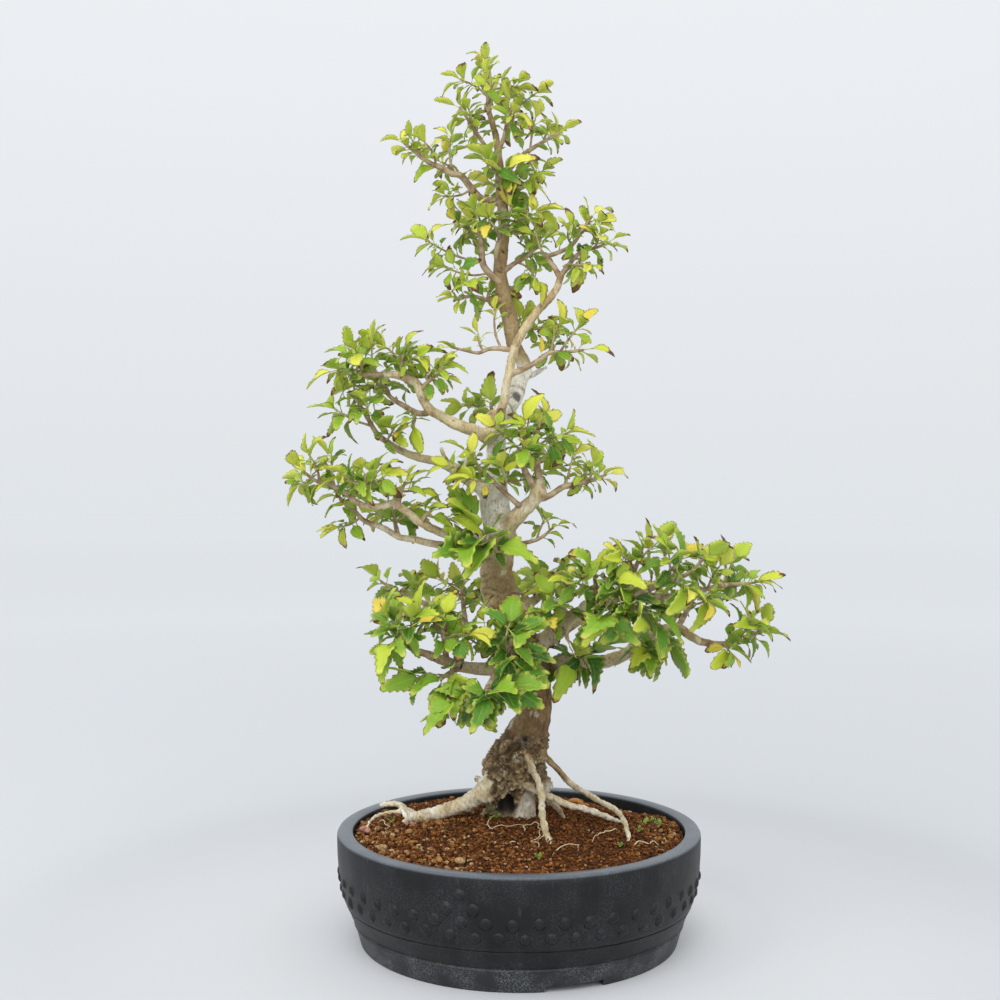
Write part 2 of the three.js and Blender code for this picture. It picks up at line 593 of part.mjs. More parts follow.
// A tapered stem: a cylinder bent along the curve through the points, its radius following
// theirs. Its ends reach the clearance further when it is grown to cut a neighbour.
function stemSolid(points, { sides, step: stepLength }, grow = 0, shape = () => 1) {
  const curve = curveThrough(points);
  const steps = stepsAlong(curve, stepLength);
  const frames = curve.computeFrenetFrames(steps, false);
  const geometry = new THREE.CylinderGeometry(1, 1, 1, sides, steps);
  const position = geometry.attributes.position;
  for (let i = 0; i < position.count; i += 1) {
    const step = Math.round((position.getY(i) + 0.5) * steps);
    const place = curve.getUtoTmapping(step / steps) * (points.length - 1);
    const from = Math.min(Math.floor(place), points.length - 2);
    const radius = THREE.MathUtils.lerp(points[from][3], points[from + 1][3], place - from);
    const centre = curve.getPointAt(step / steps);
    const angle = Math.atan2(position.getZ(i), position.getX(i));
    const reach = (radius + grow) * shape(angle, centre.z);
    centre.addScaledVector(frames.normals[step], position.getX(i) * reach);
    centre.addScaledVector(frames.binormals[step], -position.getZ(i) * reach);
    if (step === 0) centre.addScaledVector(frames.tangents[step], -grow);
    if (step === steps) centre.addScaledVector(frames.tangents[step], grow);
    position.setXYZ(i, centre.x, centre.y, centre.z);
  }
  return solid(geometry);
}

// The old wood swells in lumps round the foot of the trunk, and less so higher up.
function burls(angle, height) {
  const turn = Math.cos(2 * angle - BURLS.fall * height + 1);
  const lump = Math.sin(3 * angle + BURLS.rise * height) * turn;
  return 1 + lump * (height < BURLS.top ? BURLS.swell : BURLS.upperSwell);
}

// Trunk, limbs and roots joined, or the same grown by the clearance.
function woodSolid(grow = 0) {
  let wood = stemSolid(TRUNK, TRUNK_MESH, grow, burls);
  Object.values(LIMBS).forEach((points) => {
    wood = wood.add(stemSolid(points, LIMB_MESH, grow));
  });
  Object.values(ROOTS).forEach((points) => {
    wood = wood.add(stemSolid(points, ROOT_MESH, grow));
  });
  return wood;
}

// The dark hollow between the roots at the front of the trunk's foot.
function hollowSolid() {
  const geometry = new THREE.IcosahedronGeometry(1, 1);
  geometry.scale(...HOLLOW.size);
  geometry.translate(...HOLLOW.at);
  return solid(geometry);
}

// A turned body whose half section is [radius, height], standing up along Z.
function turnedGeometry(section, facets) {
  const profile = section.map(([radius, height]) => new THREE.Vector2(radius, height));
  const geometry = new THREE.LatheGeometry(profile, facets);
  geometry.rotateX(Math.PI / 2);
  geometry.rotateZ(THREE.MathUtils.degToRad(PEAK_AZIMUTH + 180 / POT_FACETS));
  return geometry;
}

// A low pointed stud, sunk into the pot's wall. Azimuth 0 faces the viewer.
function studSolid({ height, wall, shift }, azimuth) {
  const length = STUD.proud + STUD.sunk;
  const geometry = new THREE.ConeGeometry(STUD.radius * (length / STUD.proud), length, STUD.sides, 1);
  geometry.translate(0, length / 2 - STUD.sunk, 0);
  geometry.rotateX(Math.PI);
  geometry.translate(0, -wall, height);
  const turn = azimuth + shift * (360 / POT_FACETS);
  geometry.rotateZ(THREE.MathUtils.degToRad(turn));
  return solid(geometry);
}

function potSolid() {
  let pot = solid(turnedGeometry(POT_SECTION, POT_FACETS));
  for (let i = 0; i < POT_FACETS; i += 1) {
    const azimuth = PEAK_AZIMUTH + (360 / POT_FACETS) * i;
    STUD_ROWS.forEach((row) => {
      pot = pot.add(studSolid(row, azimuth));
    });
  }
  for (let i = 0; i < PEAKS; i += 1) {
    STUD_PEAK.forEach((stud) => {
      pot = pot.add(studSolid(stud, PEAK_AZIMUTH + (360 / PEAKS) * i));
    });
    const notch = new THREE.BoxGeometry(NOTCH.width, NOTCH.depth, 2 * NOTCH.height);
    notch.translate(0, -POT_SECTION[3][0], 0);
    notch.rotateZ(THREE.MathUtils.degToRad(NOTCH.azimuth + (360 / PEAKS) * i));
    pot = pot.subtract(solid(notch));
  }
  for (let i = 0; i < DRAIN.count; i += 1) {
    const hole = new THREE.CylinderGeometry(DRAIN.radius, DRAIN.radius, POT_HEIGHT / 2, DRAIN.sides);
    hole.rotateX(Math.PI / 2);
    hole.translate(DRAIN.ring, 0, 0);
    hole.rotateZ((2 * Math.PI * i) / DRAIN.count);
    pot = pot.subtract(solid(hole));
  }
  return pot;
}

// Height of the soil's surface: a low dome, higher at the front, with a dip, and uneven.
function soilHeight(x, y) {
  const out = Math.min(1, Math.hypot(x, y) / SOIL.reach);
  const dome = SOIL.edge + SOIL.crown * (1 - out * out) ** SOIL.roundness;
  const tilt = -SOIL.tilt * y * out * out;
  const fromDip = Math.hypot(x - SOIL.dip.at[0], y - SOIL.dip.at[1]) / SOIL.dip.reach;
  const dip = SOIL.dip.depth * Math.exp(-fromDip * fromDip);
  const [waveX, waveY] = SOIL.waves;
  return dome + tilt - dip + SOIL.bump * Math.sin(waveX * x + 1) * Math.cos(waveY * y);
}

function soilSolid(grownWood) {
  const [wall, corner, floor] = POT_INSIDE;
  const edge = wall[0] - 2 * GAP;
  const brim = wall[0] + GAP;
  const top = [brim, ...SOIL.rings, 0].map((radius) => [radius, SOIL.edge]);
  const section = [
    [0, floor[1] + 2 * GAP], [corner[0] - GAP, corner[1] + 2 * GAP], [edge, wall[1]], ...top,
  ];
  const geometry = turnedGeometry(section, POT_FACETS / 2);
  const position = geometry.attributes.position;
  for (let i = 0; i < position.count; i += 1) {
    if (position.getZ(i) > SOIL.edge - GAP) {
      position.setZ(i, soilHeight(position.getX(i), position.getY(i)));
    }
  }
  return largestBody(solid(geometry).subtract(grownWood));
}

// Half of a leaf's outline as shares of its length, between its foot and its tip: a large leaf
// has a side lobe and a notch above it, a small one a shoulder and a shallow notch.
const LARGE_HALF = [[0.3, 0.16], [0.43, 0.5], [0.21, 0.66]];
const SMALL_HALF = [[0.36, 0.32], [0.2, 0.62]];

// A leaf as a thin arched blade pointing along Y with its face to +Z, on a straight stalk that
// reaches back from its foot.
function leafSolid(length, stalk, { thickness = LEAF.thickness, grow = 1 } = {}) {
  const half = length >= LARGE_LEAF ? LARGE_HALF : SMALL_HALF;
  const right = half.map(([x, y]) => new THREE.Vector2(x * length * grow, y * length));
  const left = half.map(([x, y]) => new THREE.Vector2(-x * length * grow, y * length)).reverse();
  const tip = new THREE.Vector2(0, length * grow);
  const edge = LEAF.stalkWidth / 2;
  const foot = [[-edge, 0], [-edge, -stalk], [edge, -stalk], [edge, 0]];
  const stem = (stalk > 0 ? foot : [[0, 0]]).map(([x, y]) => new THREE.Vector2(x, y));
  const shape = new THREE.Shape([...stem, ...right, tip, ...left]);
  const geometry = new THREE.ExtrudeGeometry(shape, { depth: thickness, bevelEnabled: false });
  const position = geometry.attributes.position;
  for (let i = 0; i < position.count; i += 1) {
    const along = Math.max(0, position.getY(i) / length);
    const across = Math.abs(position.getX(i)) / length;
    const lift = length * (LEAF.fold * across - LEAF.arch * along * along);
    position.setZ(i, position.getZ(i) - thickness / 2 + lift * (along > 0 ? 1 : 0));
  }
  return solid(geometry);
}

// The direction of a leaf that spreads from its shoot's axis, turned round it, and droops.
function leafDirection(axis, spread, turn, droop) {
  const side = new THREE.Vector3(0, 0, 1).cross(axis);
  if (side.length() < 0.03) side.set(1, 0, 0);
  side.normalize();
  const over = axis.clone().cross(side).normalize();
  const along = axis.clone().multiplyScalar(Math.cos(spread));
  along.addScaledVector(side, Math.sin(spread) * Math.cos(turn));
  along.addScaledVector(over, Math.sin(spread) * Math.sin(turn));
  along.z -= droop;
  return along.normalize();
}

// A leaf's turn and place from its foot and direction: its face looks upward and outward.
function leafPlace(foot, along, roll) {
  const face = new THREE.Vector3(foot.x, foot.y, 0).normalize().multiplyScalar(LEAF.outward);
  face.z += LEAF.upward;
  face.addScaledVector(along, -face.dot(along)).normalize();
  face.applyAxisAngle(along, roll);
  const across = along.clone().cross(face);
  return new THREE.Matrix4().makeBasis(across, along, face).setPosition(foot);
}

// Everything that a new piece has to miss, with its box and the spray it belongs to.
const standing = [];

function stand(owner, body) {
  standing.push({ owner, body, box: body.boundingBox() });
}

function meets(body, box, other) {
  const apart = [0, 1, 2].some((k) => box.min[k] > other.box.max[k] || box.max[k] < other.box.min[k]);
  return !apart && body.intersect(other.body).volume() > TOUCH;
}

function clearOf(body, concerns) {
  const box = body.boundingBox();
  return !standing.some((other) => concerns(other) && meets(body, box, other));
}

// A leaf in the first of a few poses that crosses nothing, or none at all. Each pose adds to the
// spread and the turn and scales the leaf.
const LEAF_POSES = [
  [0, 0, 1], [0.3, 0, 1], [0.3, 2.1, 1], [0.3, 4.2, 1], [0.2, 1, 0.8], [0.5, 3, 0.8],
];

function growLeaf(owner, { root, axis, stalk, spread, turn, roll, droop, length }) {
  for (const [moreSpread, moreTurn, scale] of LEAF_POSES) {
    const along = leafDirection(axis, spread + moreSpread, turn + moreTurn, droop);
    const foot = root.clone().addScaledVector(along, stalk);
    const place = leafPlace(foot, along, roll).elements;
    const size = length * scale;
    const guard = leafSolid(size, stalk, LEAF_ROOM).transform(place);
    const blade = leafSolid(size, 0, OWN_ROOM).transform(place);
    const clear = clearOf(guard, (other) => other.owner !== owner)
      && clearOf(blade, (other) => other.owner === owner);
    if (clear) return leafSolid(size, stalk).transform(place);
  }
  return null;
}

// The leaves of one spray: one at the stem's tip, or two where they are largest, and one at the end
// of each shoot, whose slim shoot is the leaf's own long stalk.
function leavesOf({ leaf, stem, shoots }, order) {
  const curve = curveThrough(stem);
  const ends = leaf > PAIRED_LEAF ? [0, 1] : [0];
  const roots = ends.map((i) => ({
    root: curve.getPointAt(1).addScaledVector(curve.getTangentAt(1), -LEAF.inset - LEAF.pairInset * i),
    axis: curve.getTangentAt(1),
    stalk: LEAF.stalk * leaf,
    spread: i === 0 ? LEAF.spread : LEAF.pairSpread,
    droop: leaf > LARGE_LEAF ? LEAF.largeDroop : LEAF.droop,
  }));
  shoots.forEach(([share, x, y, z]) => {
    const root = stemMiddle(curve, share, STEM_MESH.step);
    const axis = new THREE.Vector3(x, y, z).sub(root);
    roots.push({ root, stalk: axis.length(), axis: axis.normalize(), spread: 0, droop: 0 });
  });
  const draw = randomStream(order);
  return roots.map((leafRoot, i) => ({
    ...leafRoot,
    length: leaf * (LEAF.least + LEAF.more * draw()),
    turn: THREE.MathUtils.degToRad(LEAF.turn * i + LEAF.turnMore * draw()),
    roll: LEAF.roll * (draw() - 0.5),
  }));
}

// Every spray: its stem, cut clear of the limb that it grows from, with its leaves.
function growSprays(grownWood) {
  const names = Object.keys(SPRAYS);
  const bodies = {};
  stand("wood", grownWood);
  names.forEach((name) => {
    let stem = stemSolid(SPRAYS[name].stem, STEM_MESH);
    standing.forEach((other) => {
      if (meets(stem, stem.boundingBox(), other)) stem = stem.subtract(other.body);
    });
    bodies[name] = largestBody(stem);
    stand(name, stemSolid(SPRAYS[name].stem, STEM_MESH, GAP));
  });
  names.forEach((name, order) => {
    leavesOf(SPRAYS[name], order).forEach((request) => {
      const leaf = growLeaf(name, request);
      if (leaf) {
        bodies[name] = bodies[name].add(leaf);
        stand(name, leaf);
      }
    });
    bodies[name] = largestBody(bodies[name]);
  });
  return bodies;
}

function finish(colour, roughness) {
  return new THREE.MeshStandardMaterial({ color: colour, roughness, metalness: 0 });
}

function named(name, body, material) {
  const mesh = new THREE.Mesh(geometryOf(body), material);
  mesh.name = name;
  return mesh;
}

const charcoal = finish(0x2b2d31, 0.55);
const granules = finish(0x5a3524, 0.95);
const bark = finish(0xb3a187, 0.85);
const greens = [finish(0x86a935, 0.6), finish(0x6f9a34, 0.6), finish(0x9ab63e, 0.6)];

const wood = largestBody(woodSolid().subtract(hollowSolid()));
const grownWood = woodSolid(GAP);
const bonsai = new THREE.Group();
bonsai.add(named("pot", potSolid(), charcoal));
bonsai.add(named("soil", soilSolid(grownWood), granules));
bonsai.add(named("trunk", wood, bark));
Object.entries(growSprays(grownWood)).forEach(([name, body], i) => {
  bonsai.add(named(`spray_${name}`, body, greens[i % greens.length]));
});

// The origin goes to the ground under the middle of the bounding box.
const around = new THREE.Box3().setFromObject(bonsai);
const middle = around.getCenter(new THREE.Vector3());
bonsai.position.set(-middle.x, -middle.y, -around.min.z);
bonsai.updateMatrixWorld(true);

export default bonsai;
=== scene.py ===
import bpy
import numpy as np
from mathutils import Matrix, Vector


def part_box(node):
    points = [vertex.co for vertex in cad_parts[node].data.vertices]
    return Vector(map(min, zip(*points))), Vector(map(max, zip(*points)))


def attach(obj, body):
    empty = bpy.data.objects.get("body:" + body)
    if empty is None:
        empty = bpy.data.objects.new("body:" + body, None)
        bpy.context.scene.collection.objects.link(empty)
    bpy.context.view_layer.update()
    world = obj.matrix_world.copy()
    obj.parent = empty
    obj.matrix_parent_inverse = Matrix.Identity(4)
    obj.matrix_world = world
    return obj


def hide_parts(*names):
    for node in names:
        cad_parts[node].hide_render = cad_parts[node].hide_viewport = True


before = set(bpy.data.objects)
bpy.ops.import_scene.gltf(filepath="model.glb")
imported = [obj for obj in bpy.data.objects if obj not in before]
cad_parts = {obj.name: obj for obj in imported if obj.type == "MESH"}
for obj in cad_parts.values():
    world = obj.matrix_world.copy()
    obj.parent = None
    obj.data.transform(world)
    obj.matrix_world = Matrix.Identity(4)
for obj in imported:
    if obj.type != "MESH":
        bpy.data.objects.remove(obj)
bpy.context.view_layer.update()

# The view. A level camera at half the tree's height looks along +Y, as the photograph was taken.
# A pale floor, a pale surrounding that is brightest overhead, and broad soft lamps at the upper
# left and the front make a plain studio, whose colours are shown without a film curve. The floor
# carries painted light and shade: it is painted lighter close round the pot, where the pot's own
# shadow falls, darker in a ring beyond it, and lighter again far off.
pot_low, pot_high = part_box("pot")
POT_AXIS = np.array([(pot_low.x + pot_high.x) / 2, (pot_low.y + pot_high.y) / 2, 0])
CAMERA_PLACE = (-15.8, -1098, 367)
LENS = 46.7
FLOOR_REACH = 30000
PAINTED_SHADING_MIDDLE, PAINTED_SHADING_REACH = (30, 50, 0), 12
SKY_STRENGTH = 1.35


def in_metres(points):
    """Millimetres from the pot's axis at the ground, as metres in the part's frame."""
    return np.asarray(points, float) / 1000 + POT_AXIS


def paint(red, green, blue):
    """A colour given as 0 to 255 on a screen, as the linear light that a shader works in."""
    share = np.array([red, green, blue]) / 255
    light = np.where(share < 0.04045, share / 12.92, ((share + 0.055) / 1.055) ** 2.4)
    return (*light.tolist(), 1)


def add_node(finish, kind, inputs=None, **settings):
    """One shader node of a finish, its inputs set to numbers or joined to other nodes."""
    made = finish.node_tree.nodes.new("ShaderNode" + kind)
    for name, value in settings.items():
        setattr(made, name, value)
    for socket, value in (inputs or {}).items():
        if isinstance(value, bpy.types.NodeSocket):
            finish.node_tree.links.new(value, made.inputs[socket])
        else:
            made.inputs[socket].default_value = value
    return made


def new_finish(name, roughness, **sockets):
    """A finish with one principled shader, and its even values set on the shader itself."""
    finish = bpy.data.materials.new(name)
    finish.use_nodes = True
    shader = finish.node_tree.nodes["Principled BSDF"]
    shader.inputs["Roughness"].default_value = roughness
    for socket, value in sockets.items():
        shader.inputs[socket.replace("_", " ").title().replace("Ior", "IOR")].default_value = value
    return finish


def colour_of(finish, socket):
    """The shader's colour comes from this socket or even colour."""
    shader = finish.node_tree.nodes["Principled BSDF"]
    if isinstance(socket, bpy.types.NodeSocket):
        finish.node_tree.links.new(socket, shader.inputs["Base Color"])
    else:
        shader.inputs["Base Color"].default_value = socket


def stops(finish, share, colours):
    """A colour read off a row of (share, colour) stops."""
    made = add_node(finish, "ValToRGB", {"Fac": share})
    ramp = made.color_ramp
    while len(ramp.elements) < len(colours):
        ramp.elements.new(0.5)
    for element, (at, colour) in zip(ramp.elements, colours):
        element.position = at
        element.color = colour
    return made.outputs["Color"]


camera = bpy.data.objects.new("camera", bpy.data.cameras.new("camera"))
camera.data.lens = LENS
camera.data.clip_end = 100
camera.location = in_metres(CAMERA_PLACE)
camera.rotation_euler = (np.pi / 2, 0, 0)
bpy.context.scene.collection.objects.link(camera)
bpy.context.scene.camera = camera

surround = bpy.data.worlds.new("surround")
surround.use_nodes = True
way = add_node(surround, "TexCoord").outputs["Generated"]
upward = add_node(surround, "SeparateXYZ", {0: way}).outputs["Z"]
sky = stops(surround, upward, [
    (0.0, (0.555, 0.58, 0.602, 1)), (0.36, (0.625, 0.64, 0.665, 1)), (1.0, (0.97, 0.98, 1, 1)),
])
background = surround.node_tree.nodes["Background"]
surround.node_tree.links.new(sky, background.inputs["Color"])
background.inputs["Strength"].default_value = SKY_STRENGTH
bpy.context.scene.world = surround
bpy.context.scene.view_settings.view_transform = "Standard"

for name, place, turn, size, watts in (
    ("key_lamp", (-900, -1300, 1700), (0.72, 0, -0.55), 2.2, 28),
    ("front_lamp", (700, -1700, 900), (1.22, 0, 0.42), 1.6, 8),
):
    lamp = bpy.data.objects.new(name, bpy.data.lights.new(name, "AREA"))
    lamp.data.size = size
    lamp.data.energy = watts
    lamp.location = in_metres(place)
    lamp.rotation_euler = turn
    bpy.context.scene.collection.objects.link(lamp)

floor_finish = new_finish("pale_floor", 0.9)
place = add_node(floor_finish, "TexCoord").outputs["Object"]
# Painted light and shade on the floor: lighter close round the pot, where the pot's own shadow falls,
# darker in a ring beyond it, and lighter again far off.
middle = tuple(in_metres(PAINTED_SHADING_MIDDLE))
distance = add_node(floor_finish, "VectorMath", {0: place, 1: middle}, operation="DISTANCE")
painted_shading = {"Value": distance.outputs["Value"], "From Max": PAINTED_SHADING_REACH}
painted_shading = add_node(floor_finish, "MapRange", painted_shading).outputs[0]
colour_of(floor_finish, stops(floor_finish, painted_shading, [
    (0.0, paint(218, 220, 222)), (0.0125, paint(218, 220, 222)), (0.016, paint(200, 202, 205)),
    (0.0208, paint(196, 199, 201)), (0.03, paint(189, 191, 194)), (0.0375, paint(184, 187, 190)),
    (0.046, paint(190, 193, 195)), (0.067, paint(194, 197, 200)), (0.14, paint(202, 205, 208)),
    (0.25, paint(211, 214, 216)), (1.0, paint(215, 218, 220)),
]))
floor_mesh = bpy.data.meshes.new("floor")
corners = [(x * FLOOR_REACH, y * FLOOR_REACH, 0) for x, y in ((-1, -1), (1, -1), (1, 1), (-1, 1))]
floor_mesh.from_pydata(in_metres(corners).tolist(), [], [(0, 1, 2, 3)])
floor_mesh.materials.append(floor_finish)
floor = bpy.data.objects.new("floor", floor_mesh)
bpy.context.scene.collection.objects.link(floor)

# The pot. One moulded charcoal plastic piece: a heavy rim, a fine groove, two rows of round studs
# with three peaks, a ridge above the foot, and three notches in the foot that let water out.
RIM_TOP = 91.3
WALL = [
    (123, 6), (125.5, 0.6), (126.2, 0), (132.4, 0), (133.2, 0.7), (135.4, 8.5), (137.3, 15.2),
    (138.5, 16.6), (138.6, 17.5), (138, 18.3), (137.8, 19), (139.6, 21.4), (143, 29.4),
    (145.2, 33.4), (144.5, 34.2), (145.7, 34.9), (147, 38), (149, 48), (150.6, 57),
    (151.6, 65), (152.2, 74), (152.5, RIM_TOP - 5.5),
    (152.3, RIM_TOP - 2), (151.5, RIM_TOP - 0.5), (150.3, RIM_TOP), (140.8, RIM_TOP),
    (139.7, RIM_TOP - 0.6), (139.2, RIM_TOP - 2.4),
    (138.4, 72), (129, 18), (127, 14.8), (124, 14),
]
POT_TURNS = 192
FLOOR_RINGS = (100, 70, 40, 12)
FLOOR_UNDER, FLOOR_TOP = 6, 14
STUD_HEIGHTS = ((57, 150.5, 0), (46, 148.5, 0.5))
STUD_PEAK = ((67, 151.8, -0.5), (67, 151.8, 0.5), (77, 152.3, 0))
STUD_PROFILE = ((6, -0.6), (5, 0), (4.2, 0.6), (3.5, 1.2), (2.5, 1.7), (1.2, 1.9))
STUD_STRAY = 0.5
STUDS, STUD_SIDES = 48, 10
PEAKS, PEAK_AZIMUTH = 3, -17.5
NOTCH = {"azimuth": 17.7, "width": 47, "height": 5, "depth": 40, "out": 133}
DRAIN = {"ring": 62, "radius": 6, "heights": (-5, 25), "sides": 24}
SHARP_FROM = 38


def new_piece(name, vertices, faces, finishes, smooth=True):
    """An object at the origin. Faces is a list of arrays, each with one count of corners, and
    finishes a list with the finish of each array."""
    mesh = bpy.data.meshes.new(name)
    mesh.vertices.add(len(vertices))
    mesh.vertices.foreach_set("co", in_metres(vertices).ravel())
    sizes = np.concatenate([np.full(len(group), group.shape[1]) for group in faces])
    mesh.loops.add(int(sizes.sum()))
    mesh.loops.foreach_set("vertex_index", np.concatenate([group.ravel() for group in faces]))
    mesh.polygons.add(len(sizes))
    mesh.polygons.foreach_set("loop_start", np.cumsum(sizes) - sizes)
    kinds = list(dict.fromkeys(finishes))
    for kind in kinds:
        mesh.materials.append(kind)
    slots = [np.full(len(group), kinds.index(kind)) for group, kind in zip(faces, finishes)]
    mesh.polygons.foreach_set("material_index", np.concatenate(slots))
    mesh.polygons.foreach_set("use_smooth", np.full(len(sizes), smooth))
    mesh.update(calc_edges=True)
    piece = bpy.data.objects.new(name, mesh)
    bpy.context.scene.collection.objects.link(piece)
    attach(piece, "root")
    return piece


def grid_faces(rows, columns, closed=True):
    """Four-cornered faces between rows of points, wound so that they face right of the rows."""
    across = np.arange(columns if closed else columns - 1)
    row = np.arange(rows - 1)[:, None] * columns
    left, right = row + across, row + (across + 1) % columns
    return np.stack([left, right, right + columns, left + columns], axis=-1).reshape(-1, 4)


def turned(profile, turns, start=0.0):
    """A profile of (radius, height) carried round Z: x = r cos a, y = r sin a, z = h. The first
    and last points of the profile are closed with a fan to the axis."""
    angle = start + np.linspace(0, 2 * np.pi, turns, endpoint=False)
    radius, height = np.array(profile, float).T[:, :, None]
    rings = np.stack([radius * np.cos(angle), radius * np.sin(angle), height + 0 * angle], -1)
    points = rings.reshape(-1, 3)
    ends = [[0, 0, height[0, 0]], [0, 0, height[-1, 0]]]
    last = len(points) - turns
    here = np.arange(turns)
    after = (here + 1) % turns
    bottom = np.stack([after, here, np.full(turns, len(points))], -1)
    top = np.stack([last + here, last + after, np.full(turns, len(points) + 1)], -1)
    return np.vstack([points, ends]), [grid_faces(len(profile), turns), bottom, top]


def joined(parts):
    """Several (points, faces) in one: each part's faces are counted on from the points before."""
    points = np.vstack([part[0] for part in parts])
    starts = np.cumsum([0] + [len(part[0]) for part in parts])
    groups = {}
    for start, (_, faces) in zip(starts, parts):
        for group in faces:
            groups.setdefault(group.shape[1], []).append(group + start)
    return points, [np.vstack(found) for found in groups.values()]


def about_z(points, degrees):
    """Points turned about Z by degrees: x cos a - y sin a, x sin a + y cos a."""
    sine, cosine = np.sin(np.radians(degrees)), np.cos(np.radians(degrees))
    x, y, z = np.moveaxis(points, -1, 0)
    return np.stack([x * cosine - y * sine, x * sine + y * cosine, z], -1)


def cut_away(piece, cutter):
    """The piece less the cutter, applied to the piece's own mesh."""
    modifier = piece.modifiers.new("cut", "BOOLEAN")
    modifier.operation = "DIFFERENCE"
    modifier.solver = "EXACT"
    modifier.object = cutter
    shaped = piece.evaluated_get(bpy.context.evaluated_depsgraph_get())
    mesh = bpy.data.meshes.new_from_object(shaped)
    piece.modifiers.clear()
    piece.data = mesh
    bpy.data.objects.remove(cutter)


def where_on(finish):
    """Where on the object a point of its surface lies."""
    return add_node(finish, "TexCoord").outputs["Object"]


def cloud(finish, place, scale, detail):
    """Soft random spots, so many to the metre."""
    return add_node(finish, "TexNoise", {"Vector": place, "Scale": scale, "Detail": detail}).outputs[0]


def number_on(finish, name):
    """A number that was painted on the piece's points."""
    return add_node(finish, "Attribute", attribute_name=name).outputs["Fac"]


charcoal = new_finish("charcoal_plastic", 0.45, specular_ior_level=0.34)
place = where_on(charcoal)
height = add_node(charcoal, "SeparateXYZ", {0: place}).outputs["Z"]
upright = add_node(charcoal, "Mapping", {"Vector": place, "Scale": (1, 1, 0.12)}).outputs[0]
streaks = cloud(charcoal, upright, 60, 6)
scratch = cloud(charcoal, upright, 700, 3)
mottle = cloud(charcoal, place, 40, 8)
speck = cloud(charcoal, place, 900, 3)


def share_between(finish, value, low, high):
    """0 up to the low value, 1 from the high one, and straight between them."""
    inputs = {"Value": value, "From Min": low, "From Max": high}
    return add_node(finish, "MapRange", inputs).outputs[0]


def mixed(finish, share, first, second):
    """The first colour passing into the second as the share goes from 0 to 1."""
    inputs = {0: share, 6: first, 7: second}
    return add_node(finish, "Mix", inputs, data_type="RGBA").outputs[2]


def times(finish, first, second):
    return add_node(finish, "Math", {0: first, 1: second}, operation="MULTIPLY").outputs[0]


def layered(finish, base, *layers):
    """A colour under layers, each a pair of a share and the screen colour that it passes into."""
    for share, colour in layers:
        base = mixed(finish, share, base, paint(*colour))
    return base


def bumped(finish, *layers):
    """Bumps of the shader's surface, each a pair of a height and how far it stands, in metres."""
    normal = None
    for value, distance in layers:
        inputs = {"Height": value, "Distance": distance, "Strength": 1}
        bump = add_node(finish, "Bump", inputs)
        if normal is not None:
            finish.node_tree.links.new(normal, bump.inputs["Normal"])
        normal = bump.outputs["Normal"]
    shader = finish.node_tree.nodes["Principled BSDF"]
    finish.node_tree.links.new(normal, shader.inputs["Normal"])


dusty = share_between(charcoal, streaks, 0.48, 0.75)
scraped = times(charcoal, share_between(charcoal, scratch, 0.6, 0.75), dusty)
patchy = share_between(charcoal, mottle, 0.4, 0.6)
chalky = times(charcoal, share_between(charcoal, speck, 0.47, 0.62), patchy)
on_foot = share_between(charcoal, height, 0.021, 0.015)
# Painted sheen: the top of the rim, where it faces the sky, is painted lighter; the same band also carries
# chalk specks and a lower roughness.
rim_painted_sheen = share_between(charcoal, height, 0.0892, 0.0908)
body = mixed(charcoal, dusty, paint(7, 8, 10), paint(20, 21, 24))
colour_of(charcoal, layered(
    charcoal, body,
    (times(charcoal, scraped, 0.55), (112, 116, 122)),
    (times(charcoal, patchy, 0.22), (30, 26, 22)),
    (times(charcoal, on_foot, 0.25), (74, 78, 80)),
    (times(charcoal, chalky, 0.1), (112, 122, 132)),
    (times(charcoal, times(charcoal, chalky, on_foot), 0.42), (140, 144, 146)),
    # Painted sheen on the rim's top, then chalk specks on it.
    (times(charcoal, rim_painted_sheen, 0.92), (86, 93, 101)),
    (times(charcoal, times(charcoal, chalky, rim_painted_sheen), 0.3), (146, 154, 162)),
))
worn = add_node(charcoal, "MapRange", {"Value": rim_painted_sheen, "To Min": 0.48, "To Max": 0.32}).outputs[0]
charcoal.node_tree.links.new(worn, charcoal.node_tree.nodes["Principled BSDF"].inputs["Roughness"])
bumped(charcoal, (mottle, 0.0005), (scratch, 0.0001))

profile = [(radius, FLOOR_UNDER) for radius in reversed(FLOOR_RINGS)] + WALL
profile += [(radius, FLOOR_TOP) for radius in FLOOR_RINGS]
pot = new_piece("moulded_pot", *turned(profile, POT_TURNS), [charcoal] * 3)
for turn in range(PEAKS):
    azimuth = 360 / PEAKS * turn
    hole = [(DRAIN["radius"], at) for at in DRAIN["heights"]]
    points, faces = turned(hole, DRAIN["sides"])
    points = about_z(points + [DRAIN["ring"], 0, 0], azimuth)
    cut_away(pot, new_piece("drain_cutter", points, faces, [charcoal] * 3))
    half = np.array([NOTCH["width"] / 2, NOTCH["depth"] / 2, NOTCH["height"]])
    points, faces = turned([(1, -1), (1, 1)], 4, np.pi / 4)
    points = points * half * [np.sqrt(2), np.sqrt(2), 1] - [0, NOTCH["out"], 0]
    points = about_z(points, NOTCH["azimuth"] + azimuth)
    cut_away(pot, new_piece("notch_cutter", points, faces, [charcoal] * 3))
pot.data.set_sharp_from_angle(angle=np.radians(SHARP_FROM))
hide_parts("pot")

